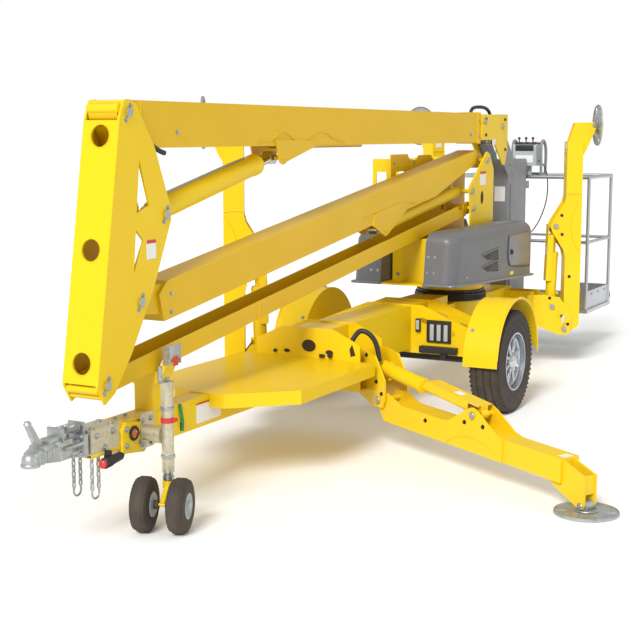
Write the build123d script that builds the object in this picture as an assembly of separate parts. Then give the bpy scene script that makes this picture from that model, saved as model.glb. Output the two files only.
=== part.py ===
"""Towable boom lift, parked on its road wheels and jack wheels.

Three of its four outriggers stand raised and the near front one is down. Millimetres, +Z up.
The tongue points along -X, the platform is at +X, and the side nearest the viewer is -Y.
Sizes below are measured from a working origin on the ground under the axle; at the end every
piece is moved so that the origin is the middle of the bottom of the whole machine's box.
"""

import os
from collections import namedtuple
from math import atan2, cos, degrees, radians, sin

from build123d import *

# Road wheels, axle and mudguards
TYRE_R = 343.0
TYRE_W = 205.0
TYRE_BORE_R = 193.0
TYRE_ROUND = 34.0
TREAD_GROOVE = 7.0
TREAD_GROOVE_W = 12.0
TREAD_PITCH = 46.0
TRACK = 1440.0
RIM_W = 172.0
RIM_WALL = 9.0
RIM_DISC_T = 14.0
RIM_DISC_OUT = 52.0
RIM_HOLES = 8
RIM_HOLE_R = 21.0
RIM_HOLE_PITCH_R = 118.0
HUB_R = 48.0
HUB_OUT = 70.0
HUB_IN = 70.0
AXLE_R = 38.0
AXLE_BORE_CLEAR = 1.0
GUARD_X = 40.0
GUARD_R = 415.0
GUARD_T = 5.0
GUARD_IN_Y = 590.0
GUARD_OUT_Y = 824.0
GUARD_FRONT_Z = 350.0
GUARD_REAR_Z = 386.0

# Chassis: main beam, cross members, axle plates and pedestal
BEAM_W = 250.0
BEAM_TOP = 620.0
BEAM_HIGH = 690.0
BEAM_STEP_X = 500.0
BEAM_BOTTOM = 400.0
BEAM_FRONT_X = -1400.0
BEAM_REAR_X = 1875.0
PLATE_T = 10.0
CROSS_DEPTH = 300.0
CROSS_HALF = 350.0
CROSS_END_TOP = 615.0
CROSS_MID_TOP = 700.0
CROSS_MID_HALF = 170.0
CROSS_BOTTOM = 340.0
REAR_CROSS_HALF = 370.0
REAR_CROSS_X = 1700.0
REAR_CROSS_DEPTH = 165.0
REAR_CROSS_TOP = 600.0
REAR_CROSS_BOTTOM = 330.0
AXLE_PLATE_X = 150.0
AXLE_PLATE_HALF = 589.7
AXLE_PLATE_TOP = 700.0
AXLE_PLATE_TOP_HALF = 200.0
AXLE_PLATE_END_TOP = 545.0
AXLE_PLATE_BOTTOM = 372.0
AXLE_SLOTS = ((235.0, 590.0), (405.0, 528.0))
AXLE_SLOT_L = 92.0
AXLE_SLOT_H = 34.0
SLEW_X = 860.0
PEDESTAL_R = 245.0
PEDESTAL_TOP = 630.0
RING_R = 262.0
RING_TOP = 684.0
RING_GAP = 0.3

# Front deck and tongue
DECK_TOP = 520.0
DECK_T = 6.0
DECK_REAR_X = -1402.0
DECK_SIDE_X = -2300.0
DECK_FRONT_X = -2580.0
DECK_HALF = 450.0
DECK_NOSE_HALF = 150.0
DECK_LIP = 74.0
TONGUE_W = 120.0
TONGUE_TOP = 513.0
TONGUE_BOTTOM = 358.0
TONGUE_WALL = 8.0
TONGUE_FRONT_X = -3345.0
TONGUE_PLATE_HALF = 78.0
TONGUE_PLATE_X = -3180.0

# Coupler, its sliding head and the safety chains
BALL_X = -3900.0
BALL_Z = 455.0
BALL_R = 25.4
BALL_CLEAR = 0.25
SOCKET_WALL = 13.0
SOCKET_SKIRT = 28.0
SLEEVE_FRONT_X = -3562.0
SLEEVE_W = 126.0
SLEEVE_TOP = 520.0
SLEEVE_BOTTOM = 398.0
SLIDE_R = 31.0
SLIDE_Z = 460.0
LATCH_TOP = 612.0
CHAIN_X = (-3548.0, -3500.0)
CHAIN_Y = (-52.0, 52.0)
CHAIN_TOP = 398.7
CHAIN_LINK = 34.0
CHAIN_LINK_W = 22.0
CHAIN_WIRE_R = 4.0
CHAIN_LINKS = 6

# Jack with twin wheels on the near side of the tongue
JACK_X = -3176.0
JACK_Y = -212.0
JACK_PIVOT_Z = 440.0
JACK_TUBE_R = 29.0
JACK_TUBE_TOP = 672.0
JACK_TUBE_BOTTOM = 262.0
JACK_BORE_CLEAR = 1.0
JACK_LEG_R = 23.0
JACK_LEG_BOTTOM = 222.0
JACK_TRAIL = 100.0
JACK_TURN = 17.0
JACK_WHEEL_R = 130.0
JACK_WHEEL_W = 84.0
JACK_WHEEL_GAP = 90.0
JACK_AXLE_R = 8.0
JACK_RIM_R = 62.0
JACK_TRAVEL = 250.0
JACK_MOUNT_X = (-3270.0, -3110.0)

# Boom rest on the tongue
REST_X = -3020.0
REST_LENGTH = 90.0
REST_POST = 55.0
REST_PAD_T = 14.0
REST_CHEEK_TOP = 800.0
REST_GAP = 5.0
REST_FLARE = 140.0

# Outriggers: pivots in plan, splay from square, arm sizes about its pivot when raised
Outrigger = namedtuple("Outrigger", "name pivot_x side forward lowered")
OUTRIGGERS = (
    Outrigger("near_front", -1290.0, -1, -1, True),
    Outrigger("far_front", -1290.0, 1, -1, False),
    Outrigger("near_rear", 1905.0, -1, 1, False),
    Outrigger("far_rear", 1905.0, 1, 1, False),
)
OUT_PIVOT_Y = {-1: 500.0, 1: 545.0}
OUT_PIVOT_Z = 300.0
OUT_SPLAY = 28.5
OUT_DOWN = 91.8
OUT_LIMIT = 105.0
OUT_STROKE = 315.0
LEVEL_STROKE = 131.0
ARM_TUBE = 125.0
ARM_TUBE_X = 60.0
ARM_TUBE_WALL = 8.0
ARM_TUBE_BASE = 95.0
ARM_TUBE_END = 1482.0
ARM_SIDE_T = 8.0
ARM_LOBE_R = 48.0
ARM_PIN_R = 16.0
PIN_CLEAR = 1.0
EAR_CLEAR = 7.5
EAR_T = 12.0
EAR_PIN_FIT = 0.3
CREST_PIN = (-80.0, 820.0)
CREST_R = 42.0
CREST_PIN_R = 14.0
CYL_BASE = (-100.0, 180.0)
BARREL_R = 42.0
BARREL_LEN = 430.0
BARREL_EYE_R = 34.0
ROD_R = 20.0
ROD_FIT = 0.6
ROD_EYE_R = 26.0
ROD_EYE_W = 46.0
GUARD_PLATE_T = 4.0
GUARD_PLATE_W = 104.0
GUARD_PLATE_L = 440.0
FOOT_PLATE_T = 12.0
FOOT_OUT = 152.0
FOOT_ALONG = 1610.0
PAD_R = 160.0
PAD_T = 9.0
PAD_DISH = 11.0
PAD_DROP = 30.0
PAD_STUD_R = 15.0
PAD_EYE_R = 25.0
PAD_EYE_W = 56.0
PAD_PIN_R = 12.0

# Boom linkage pins in the X-Z plane
Pin = namedtuple("Pin", "x z")
MAST_BOOM_PIN = Pin(1270.0, 1642.0)
BOOM_RUN = 4482.0
BOOM_RISE = 576.0
LINK_OFFSET_X = -274.0
LINK_OFFSET_Z = -348.0
KNUCKLE_BOOM_PIN = Pin(MAST_BOOM_PIN.x - BOOM_RUN, MAST_BOOM_PIN.z - BOOM_RISE)
MAST_LINK_PIN = Pin(MAST_BOOM_PIN.x + LINK_OFFSET_X, MAST_BOOM_PIN.z + LINK_OFFSET_Z)
KNUCKLE_LINK_PIN = Pin(KNUCKLE_BOOM_PIN.x + LINK_OFFSET_X, KNUCKLE_BOOM_PIN.z + LINK_OFFSET_Z)
UPPER_PIN = Pin(-3281.0, 1937.0)
UPPER_CYL_BASE = Pin(-2997.0, 1463.0)
UPPER_CYL_EYE = Pin(-1838.0, 1712.0)
LOWER_CYL_BASE = Pin(960.0, 1420.0)
LOWER_CYL_EYE = Pin(-480.0, 1225.0)
TIP_PIN = Pin(1670.0, 1900.0)
LEVEL_BASE = Pin(1278.0, 1935.0)
LEVEL_EYE = Pin(1632.0, 1780.0)

# Boom sections
LOWER_W = 152.0
LOWER_H = 204.0
LOWER_WALL = 6.0
LOWER_FRONT_X = -2960.0
LOWER_TAPER_X = 380.0
LOWER_TAPER_H = 96.0
LOWER_REAR_X = 1160.0
LOWER_LOBE_W = 118.0
PIVOT_LOBE_R = 58.0
LINK_W = 150.0
LINK_H = 96.0
LINK_WALL = 6.0
LINK_DROP = 4.0
LINK_NOTCH = (78.0, 176.0, 8.0)
UPPER_W = 160.0
UPPER_TOP = 1995.0
UPPER_BOTTOM = 1777.0
UPPER_WALL = 8.0
UPPER_REAR_X = 1210.0
UPPER_FRONT_X = -3250.0
COLLAR_L = 60.0
COLLAR_T = 7.0
INNER_W = 126.0
INNER_TOP = 1967.0
INNER_BOTTOM = 1805.0
INNER_WALL = 7.0
INNER_FRONT_X = -2500.0
INNER_REAR_X = 1226.0
TELESCOPE_TRAVEL = 3000.0
TIP_PLATE_Y = 84.0
TIP_PLATE_T = 12.0
TIP_FRONT_X = 1216.0
TIP_END_T = 14.0
TIP_REAR_X = 1790.0
TIP_BOTTOM = 1600.0

# Knuckle between the booms
KNUCKLE_HALF = 100.0
KNUCKLE_T = 12.0
KNUCKLE_HOLE_R = 50.0
KNUCKLE_HOLES_Z = (1833.0, 1323.0, 818.0)
KNUCKLE_FRONT_T = 10.0

# Lift cylinders of the booms
LIFT_BARREL_R = 55.0
LIFT_ROD_R = 28.0
LIFT_EYE_R = 36.0
LIFT_EYE_W = 60.0
LOWER_BARREL_R = 44.0
LOWER_ROD_R = 24.0
LEVEL_BARREL_R = 24.0
LEVEL_ROD_R = 12.0
LEVEL_EYE_W = 40.0

# Turntable, mast and covers
TABLE_LOW = 812.0
TABLE_TOP = 824.0
TABLE_GAP = 0.3
DRUM_R = 240.0
MAST_Y = 112.0
MAST_T = 12.0
BOX_HALF = 152.0
BOX_FRONT_X = 150.0
BOX_REAR_X = 1400.0
BOX_TOP = 1120.0
HOOD_FRONT_X = -40.0
HOOD_REAR_X = 1640.0
HOOD_IN_Y = 156.0
HOOD_OUT_Y = 392.0
HOOD_LOW_FRONT = 812.0
HOOD_LOW_REAR = 742.0
HOOD_TOP = 1175.0
HOOD_WALL = 6.0
HOOD_ROUND = 95.0
HOOD_EDGE = 55.0
PACK_MARGIN = 30.0
PACK_TOP_NEAR = 1040.0
PACK_TOP_FAR = 1070.0
RACK_FRONT_X = 105.0
RACK_REAR_X = 1180.0
RACK_IN_Y = 150.0
RACK_OUT_Y = 290.0
RACK_TOP = 1700.0
RACK_T = 8.0

# Platform: column, basket, floor, gate and console
COLUMN_HALF = 68.0
COLUMN_FRONT_X = 1900.0
COLUMN_REAR_X = 2350.0
COLUMN_TOP = 1638.0
COLUMN_BOTTOM = 430.0
COLUMN_WALL = 6.0
BASKET_FRONT_X = 2446.0
BASKET_REAR_X = 3124.0
BASKET_HALF = 600.0
BASKET_BOTTOM = 350.0
BASKET_FLOOR_T = 30.0
BASKET_PLATE_T = 6.0
BASKET_TOE = 150.0
BASKET_RAIL_R = 16.0
BASKET_MID_R = 14.2
BASKET_POST_R = 15.1
BASKET_TOP = 1500.0
BASKET_MID = 945.0
GATE_HALF = 300.0
GATE_GAP = 8.0
GATE_TUBE_R = 12.8
GATE_LIFT = 25.0
CONSOLE_SIZE = (150.0, 200.0, 180.0)
CONSOLE_X = 2372.0
CONSOLE_Y = -40.0
CONSOLE_Z = 1578.0


def box(x0, x1, y0, y1, z0, z1):
    """A box between two corners."""
    middle = ((x0 + x1) / 2, (y0 + y1) / 2, (z0 + z1) / 2)
    return Pos(*middle) * Box(abs(x1 - x0), abs(y1 - y0), abs(z1 - z0))


def rod(start, end, radius):
    """A round bar between two points."""
    start, end = Vector(*start), Vector(*end)
    run = end - start
    return extrude(Plane(origin=start, z_dir=run.normalized()) * Circle(radius), run.length)


def pin_y(x, z, y0, y1, radius):
    """A round bar along Y."""
    return rod((x, min(y0, y1), z), (x, max(y0, y1), z), radius)


def plate_xz(points, y0, y1):
    """A plate with its outline in the X-Z plane, from y0 to y1."""
    face = make_face(Polyline(*[(x, y0, z) for x, z in points], close=True))
    return extrude(face, y1 - y0, dir=(0, 1, 0)) if y1 > y0 else extrude(face, y0 - y1, dir=(0, -1, 0))


def plate_yz(points, x0, x1):
    """A plate with its outline in the Y-Z plane, from x0 to x1."""
    face = make_face(Polyline(*[(x0, y, z) for y, z in points], close=True))
    return extrude(face, x1 - x0, dir=(1, 0, 0))


def lobed(pins, y0, y1):
    """A plate over a chain of round lobes, given as (x, z, radius), hulled pair by pair."""
    shape = None
    for (xa, za, ra), (xb, zb, rb) in zip(pins, pins[1:]):
        turn = atan2(zb - za, xb - xa)
        length = ((xb - xa) ** 2 + (zb - za) ** 2) ** 0.5
        side = (ra - rb) / length
        off = atan2((1 - side * side) ** 0.5, side)
        points = [
            (xa + ra * cos(turn + off), za + ra * sin(turn + off)),
            (xb + rb * cos(turn + off), zb + rb * sin(turn + off)),
            (xb + rb * cos(turn - off), zb + rb * sin(turn - off)),
            (xa + ra * cos(turn - off), za + ra * sin(turn - off)),
        ]
        piece = plate_xz(points, y0, y1)
        piece = piece + pin_y(xa, za, y0, y1, ra) + pin_y(xb, zb, y0, y1, rb)
        shape = piece if shape is None else shape + piece
    return shape


def sloped_box(start, end, width, height, wall, open_top=False):
    """A box or channel section along a line in the X-Z plane, from start to end."""
    run = Vector(end[0] - start[0], 0, end[1] - start[1])
    plane = Plane(origin=(start[0], 0, start[1]), x_dir=(0, 1, 0), z_dir=run.normalized())
    up = plane.y_dir.Z
    section = plane * Rectangle(width, height)
    body = extrude(section, run.length)
    lift = wall if open_top else 0.0
    inner_height = height - 2 * wall + lift
    sign = 1 if up > 0 else -1
    hollow = plane * Pos(0, sign * lift / 2, 0) * Rectangle(width - 2 * wall, inner_height)
    return body - extrude(hollow, run.length)


def chassis_frame():
    """The welded frame: beam, cross members, axle plates and pedestal, slotted for the ears."""
    frame = box(BEAM_FRONT_X, BEAM_REAR_X, -BEAM_W / 2, BEAM_W / 2, BEAM_BOTTOM, BEAM_TOP)
    frame -= box(BEAM_FRONT_X + PLATE_T, BEAM_REAR_X - PLATE_T, -BEAM_W / 2 + PLATE_T,
                 BEAM_W / 2 - PLATE_T, BEAM_BOTTOM + PLATE_T, BEAM_TOP - PLATE_T)
    frame += box(BEAM_FRONT_X, BEAM_STEP_X, -BEAM_W / 2, BEAM_W / 2, BEAM_TOP - 1, BEAM_HIGH)
    frame -= box(BEAM_FRONT_X + PLATE_T, BEAM_STEP_X - PLATE_T, -BEAM_W / 2 + PLATE_T,
                 BEAM_W / 2 - PLATE_T, BEAM_TOP - PLATE_T - 1, BEAM_HIGH - PLATE_T)
    outline = [(-CROSS_HALF, CROSS_BOTTOM), (CROSS_HALF, CROSS_BOTTOM), (CROSS_HALF, CROSS_END_TOP),
               (CROSS_MID_HALF, CROSS_MID_TOP), (-CROSS_MID_HALF, CROSS_MID_TOP),
               (-CROSS_HALF, CROSS_END_TOP)]
    front = plate_yz(outline, BEAM_FRONT_X, BEAM_FRONT_X + PLATE_T)
    back = plate_yz(outline, BEAM_FRONT_X + CROSS_DEPTH, BEAM_FRONT_X + CROSS_DEPTH + PLATE_T)
    floor = box(BEAM_FRONT_X, BEAM_FRONT_X + CROSS_DEPTH, -CROSS_HALF, CROSS_HALF,
                CROSS_BOTTOM, CROSS_BOTTOM + PLATE_T)
    frame += front + back + floor
    rear_low, rear_top = REAR_CROSS_BOTTOM, REAR_CROSS_TOP
    for x in (REAR_CROSS_X, REAR_CROSS_X + REAR_CROSS_DEPTH):
        frame += box(x, x + PLATE_T, -REAR_CROSS_HALF, REAR_CROSS_HALF, rear_low, rear_top)
    frame += box(REAR_CROSS_X, REAR_CROSS_X + REAR_CROSS_DEPTH, -REAR_CROSS_HALF, REAR_CROSS_HALF,
                 rear_low, rear_low + PLATE_T)
    profile = [(-AXLE_PLATE_HALF, AXLE_PLATE_BOTTOM), (AXLE_PLATE_HALF, AXLE_PLATE_BOTTOM),
               (AXLE_PLATE_HALF, AXLE_PLATE_END_TOP), (AXLE_PLATE_TOP_HALF, AXLE_PLATE_TOP),
               (-AXLE_PLATE_TOP_HALF, AXLE_PLATE_TOP), (-AXLE_PLATE_HALF, AXLE_PLATE_END_TOP)]
    for x in (-AXLE_PLATE_X, AXLE_PLATE_X - PLATE_T):
        plate = plate_yz(profile, x, x + PLATE_T)
        for y, z in AXLE_SLOTS:
            for side in (-1, 1):
                slot = Plane(origin=(x, side * y, z), x_dir=(0, 1, 0), z_dir=(1, 0, 0))
                lean = Rot(0, 0, -side * 18)
                plate -= extrude(slot * lean * SlotOverall(AXLE_SLOT_L, AXLE_SLOT_H), PLATE_T)
        frame += plate
    for side in (-1, 1):
        y = side * (AXLE_PLATE_HALF - PLATE_T / 2)
        frame += box(-AXLE_PLATE_X, AXLE_PLATE_X, y - PLATE_T / 2, y + PLATE_T / 2,
                     AXLE_R + TYRE_R - 6, AXLE_PLATE_END_TOP)
    drum = rod((SLEW_X, 0, BEAM_BOTTOM), (SLEW_X, 0, PEDESTAL_TOP), PEDESTAL_R)
    core = box(SLEW_X - PEDESTAL_R, SLEW_X + PEDESTAL_R, -BEAM_W / 2 + PLATE_T, BEAM_W / 2 - PLATE_T,
               BEAM_BOTTOM + PLATE_T, BEAM_TOP - PLATE_T)
    for side in (-1, 1):
        y0, y1 = sorted((side * BEAM_W / 2, side * (PEDESTAL_R + 1)))
        core += box(SLEW_X - PEDESTAL_R, SLEW_X + PEDESTAL_R, y0, y1,
                    BEAM_BOTTOM + PLATE_T, PEDESTAL_TOP - PLATE_T)
    hollow = rod((SLEW_X, 0, BEAM_BOTTOM + PLATE_T), (SLEW_X, 0, PEDESTAL_TOP - PLATE_T),
                 PEDESTAL_R - PLATE_T)
    frame += drum - (hollow & core)
    for outrigger in OUTRIGGERS:
        frame -= outrigger_ears(outrigger)
    frame -= box(-AXLE_R - 2, AXLE_R + 2, -AXLE_PLATE_HALF - 1, AXLE_PLATE_HALF + 1,
                 TYRE_R - AXLE_R, TYRE_R + AXLE_R)
    return frame


def outrigger_plane(outrigger):
    """Local frame at an outrigger's pivot: X outward along its splay, Y along the pin, Z up."""
    splay = radians(OUT_SPLAY)
    out = (outrigger.forward * sin(splay), outrigger.side * cos(splay), 0)
    origin = (outrigger.pivot_x, outrigger.side * OUT_PIVOT_Y[outrigger.forward], OUT_PIVOT_Z)
    return Plane(origin=origin, x_dir=out, z_dir=(0, 0, 1))


def ear_faces():
    """Inner and outer faces of an outrigger's two ears, from its middle."""
    inner = ARM_TUBE / 2 + ARM_SIDE_T + EAR_CLEAR
    return inner, inner + EAR_T


def outrigger_ears(outrigger):
    """Two plates with an outrigger's arm pin and its cylinder's base pin through their holes."""
    inner, outer = ear_faces()
    base_x, base_z = CYL_BASE
    reach = 330.0 if outrigger.forward < 0 else 300.0
    outline = [(ARM_LOBE_R * 0.75, -ARM_LOBE_R * 0.9), (ARM_LOBE_R * 1.15, 0),
               (ARM_LOBE_R * 1.15, 120), (base_x + 60, base_z + 75), (base_x - 60, base_z + 95),
               (-reach, base_z + 95), (-reach, 60), (-ARM_LOBE_R, -ARM_LOBE_R * 0.9)]
    ears = None
    for side in (-1, 1):
        ear = plate_xz(outline, side * inner, side * outer)
        ears = ear if ears is None else ears + ear
    for x, z in ((0, 0), CYL_BASE):
        ears -= pin_y(x, z, -outer - 1, outer + 1, ARM_PIN_R + EAR_PIN_FIT)
        ears += pin_y(x, z, -outer - 6, outer + 6, ARM_PIN_R)
    return outrigger_plane(outrigger).location * ears


def all_ears():
    """The ears and pins of the four outriggers, each plate and pin a piece of its own."""
    ears = None
    for outrigger in OUTRIGGERS:
        pair = outrigger_ears(outrigger)
        ears = pair if ears is None else ears + pair
    return ears


def turned(shape, degrees_down):
    """Turns a piece of an outrigger about its pivot, down from upright."""
    return Rot(0, degrees_down, 0) * shape


def rest_angle(outrigger):
    """How far down an outrigger stands in the parked machine."""
    return OUT_DOWN if outrigger.lowered else 0.0


def outrigger_arm(outrigger):
    """Square tube arm with welded side plates, a crest for the cylinder and a foot bracket."""
    half = ARM_TUBE / 2
    x0, x1 = ARM_TUBE_X - half, ARM_TUBE_X + half
    arm = box(x0, x1, -half, half, ARM_TUBE_BASE, ARM_TUBE_END)
    arm -= box(x0 + ARM_TUBE_WALL, x1 - ARM_TUBE_WALL, -half + ARM_TUBE_WALL,
               half - ARM_TUBE_WALL, ARM_TUBE_BASE - 1, ARM_TUBE_END - ARM_TUBE_WALL)
    crest_x, crest_z = CREST_PIN
    outline = [(-ARM_LOBE_R * 0.8, -ARM_LOBE_R * 0.7), (ARM_LOBE_R * 0.4, -ARM_LOBE_R),
               (x1, 28), (x1, crest_z + 240), (x0, crest_z + 240), (x0 - 12, crest_z + 190),
               (crest_x - CREST_R * 0.6, crest_z + CREST_R), (crest_x - CREST_R, crest_z),
               (crest_x - CREST_R * 0.7, crest_z - CREST_R), (x0 - 14, crest_z - 190),
               (x0, crest_z - 250), (x0, 190), (-ARM_LOBE_R, 62)]
    for side in (-1, 1):
        arm += plate_xz(outline, side * half, side * (half + ARM_SIDE_T))
        stub_in = ROD_EYE_W / 2 + 5
        arm += pin_y(crest_x, crest_z, side * stub_in, side * (half + ARM_SIDE_T + 5), CREST_PIN_R)
        ball = ARM_TUBE_X + FOOT_OUT - 2
        foot = [(x1 - 8, ARM_TUBE_END - 120), (x1 + 26, ARM_TUBE_END - 70),
                (ball + 14, FOOT_ALONG - 20), (ball + 16, FOOT_ALONG + 10), (ball - 6, FOOT_ALONG + 22),
                (x0 + 60, FOOT_ALONG + 20), (x0 + 10, ARM_TUBE_END - 10), (x0 + 10, ARM_TUBE_END - 120)]
        foot_y = half * 0.5
        arm += plate_xz(foot, side * foot_y, side * (foot_y + FOOT_PLATE_T))
    arm += box(x0 + 60, x1 + 30, -half * 0.5, half * 0.5, FOOT_ALONG + 2, FOOT_ALONG + 14)
    arm += pin_y(ARM_TUBE_X + FOOT_OUT - 2, FOOT_ALONG, -half * 0.5 - FOOT_PLATE_T,
                 half * 0.5 + FOOT_PLATE_T, PAD_PIN_R)
    arm -= pin_y(0, 0, -half - 20, half + 20, ARM_PIN_R + PIN_CLEAR)
    return outrigger_plane(outrigger).location * turned(arm, rest_angle(outrigger))


def outrigger_pad(outrigger):
    """Round dished foot pad on its ball stud; it lies level where the arm is down."""
    align = (Align.CENTER, Align.CENTER, Align.MIN)
    plane = Plane(origin=(0, 0, 0), x_dir=(0, 1, 0), z_dir=(1, 0, 0))
    pad = plane * Pos(0, 0, PAD_DROP) * Cylinder(PAD_R, PAD_T, align=align)
    pad += plane * Pos(0, 0, PAD_DROP) * Rot(180, 0, 0) * Cone(
        PAD_R * 0.72, PAD_STUD_R * 1.6, PAD_DISH, align=align)
    pad += rod((PAD_EYE_R * 0.7, 0, 0), (PAD_DROP, 0, 0), PAD_STUD_R)
    pad += pin_y(0, 0, -PAD_EYE_W / 2, PAD_EYE_W / 2, PAD_EYE_R)
    pad -= pin_y(0, 0, -PAD_EYE_W, PAD_EYE_W, PAD_PIN_R + 0.3)
    down = radians(rest_angle(outrigger))
    ball_x = ARM_TUBE_X + FOOT_OUT - 2
    ball = (ball_x * cos(down) + FOOT_ALONG * sin(down), 0, -ball_x * sin(down) + FOOT_ALONG * cos(down))
    level = 90 if outrigger.lowered else 0
    return outrigger_plane(outrigger).location * (Pos(*ball) * Rot(0, level, 0) * pad)


def outrigger_cylinder(outrigger):
    """Barrel and rod of an outrigger's cylinder, from its base pin to the arm's crest."""
    down = radians(rest_angle(outrigger))
    crest = (CREST_PIN[0] * cos(down) + CREST_PIN[1] * sin(down),
             -CREST_PIN[0] * sin(down) + CREST_PIN[1] * cos(down))
    barrel, piston = cylinder_pair(CYL_BASE, crest, BARREL_R, ROD_R, BARREL_LEN,
                                   BARREL_EYE_R, ROD_EYE_R, ROD_EYE_W,
                                   OUT_STROKE if outrigger.lowered else 0.0)
    length = ((crest[0] - CYL_BASE[0]) ** 2 + (crest[1] - CYL_BASE[1]) ** 2) ** 0.5
    lean = degrees(atan2(crest[0] - CYL_BASE[0], crest[1] - CYL_BASE[1]))
    plate_x = -(BARREL_R + 8)
    cover = box(plate_x - GUARD_PLATE_T, plate_x, -GUARD_PLATE_W / 2, GUARD_PLATE_W / 2,
                length - GUARD_PLATE_L, length + 10)
    flange_x = plate_x + BARREL_R
    for side in (-1, 1):
        y = side * (GUARD_PLATE_W / 2 - GUARD_PLATE_T / 2)
        cover += box(plate_x - GUARD_PLATE_T, flange_x, y - GUARD_PLATE_T / 2,
                     y + GUARD_PLATE_T / 2, length - GUARD_PLATE_L, length - 70)
    cover += box(plate_x, -ROD_EYE_R + 6, -ROD_EYE_W / 2, ROD_EYE_W / 2, length - 12, length + 10)
    cover = Pos(CYL_BASE[0], 0, CYL_BASE[1]) * Rot(0, lean, 0) * cover
    place = outrigger_plane(outrigger).location
    return place * barrel, place * (piston + cover)


def cylinder_pair(base, eye, barrel_r, rod_r, barrel_len, base_r, eye_r, eye_w, inward=0.0):
    """A hydraulic cylinder in the X-Z plane: its barrel and its rod, which can move inward so far."""
    run = ((eye[0] - base[0]) ** 2 + (eye[1] - base[1]) ** 2) ** 0.5
    ux, uz = (eye[0] - base[0]) / run, (eye[1] - base[1]) / run
    at = lambda d: (base[0] + ux * d, 0, base[1] + uz * d)
    barrel = rod(at(base_r * 0.8), at(barrel_len), barrel_r)
    barrel += pin_y(base[0], base[1], -eye_w / 2, eye_w / 2, base_r)
    bore_start = base_r + 22
    barrel -= rod(at(bore_start), at(barrel_len + 1), rod_r + ROD_FIT)
    barrel -= pin_y(base[0], base[1], -eye_w, eye_w, ARM_PIN_R + PIN_CLEAR)
    piston = rod(at(bore_start + 6 + inward), at(run - eye_r * 0.8), rod_r)
    piston += pin_y(eye[0], eye[1], -eye_w / 2, eye_w / 2, eye_r)
    piston -= pin_y(eye[0], eye[1], -eye_w, eye_w, CREST_PIN_R + PIN_CLEAR)
    return barrel, piston


def deck_plate():
    """Flat front deck with a turned-down lip, on the tongue in front of the cross member."""
    def outline(inset):
        rear, side, nose = DECK_REAR_X, DECK_SIDE_X, DECK_FRONT_X + inset
        half, tip = DECK_HALF - inset, DECK_NOSE_HALF - inset * 0.7
        return [(rear, -half), (rear, half), (side, half), (nose, tip), (nose, -tip), (side, -half)]

    def slab(points, z0, z1):
        face = make_face(Polyline(*[(x, y, z0) for x, y in points], close=True))
        return extrude(face, z1 - z0, dir=(0, 0, 1))

    deck = slab(outline(0), DECK_TOP - DECK_LIP, DECK_TOP)
    inner = [(x + (1 if x == DECK_REAR_X else 0), y) for x, y in outline(DECK_T)]
    deck -= slab(inner, DECK_TOP - DECK_LIP - 1, DECK_TOP - DECK_T)
    half = TONGUE_W / 2 + 1
    return deck - box(DECK_FRONT_X - 1, DECK_FRONT_X + 40, -half, half,
                      DECK_TOP - DECK_LIP - 1, TONGUE_TOP + 0.5)


def tongue_beam():
    """Box-section tongue with doubler plates at its front end."""
    half = TONGUE_W / 2
    beam = box(TONGUE_FRONT_X, BEAM_FRONT_X, -half, half, TONGUE_BOTTOM, TONGUE_TOP)
    beam -= box(TONGUE_FRONT_X - 1, BEAM_FRONT_X - TONGUE_WALL, -half + TONGUE_WALL,
                half - TONGUE_WALL, TONGUE_BOTTOM + TONGUE_WALL, TONGUE_TOP - TONGUE_WALL)
    for side in (-1, 1):
        nose = [(TONGUE_FRONT_X, TONGUE_BOTTOM + 12), (TONGUE_PLATE_X, TONGUE_BOTTOM - 12),
                (TONGUE_PLATE_X + 60, TONGUE_BOTTOM + 30), (TONGUE_PLATE_X + 60, TONGUE_TOP - 30),
                (TONGUE_FRONT_X + 30, TONGUE_TOP), (TONGUE_FRONT_X, TONGUE_TOP - 30)]
        beam += plate_xz(nose, side * half, side * TONGUE_PLATE_HALF)
    return beam


def coupler_sleeve():
    """Zinc-plated housing that the coupler's bar slides in, bolted in the tongue's mouth."""
    half = SLEEVE_W / 2
    low, top = SLEEVE_BOTTOM, SLEEVE_TOP
    sleeve = box(SLEEVE_FRONT_X, TONGUE_FRONT_X - 0.3, -half, half, low, top)
    sleeve -= rod((SLEEVE_FRONT_X - 1, 0, SLIDE_Z), (TONGUE_FRONT_X - 30, 0, SLIDE_Z), SLIDE_R + 1)
    inner = TONGUE_W / 2 - TONGUE_WALL - 0.3
    return sleeve + box(TONGUE_FRONT_X - 1, TONGUE_FRONT_X + 130, -inner, inner,
                        TONGUE_BOTTOM + TONGUE_WALL + 0.3, TONGUE_TOP - TONGUE_WALL - 0.3)


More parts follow.
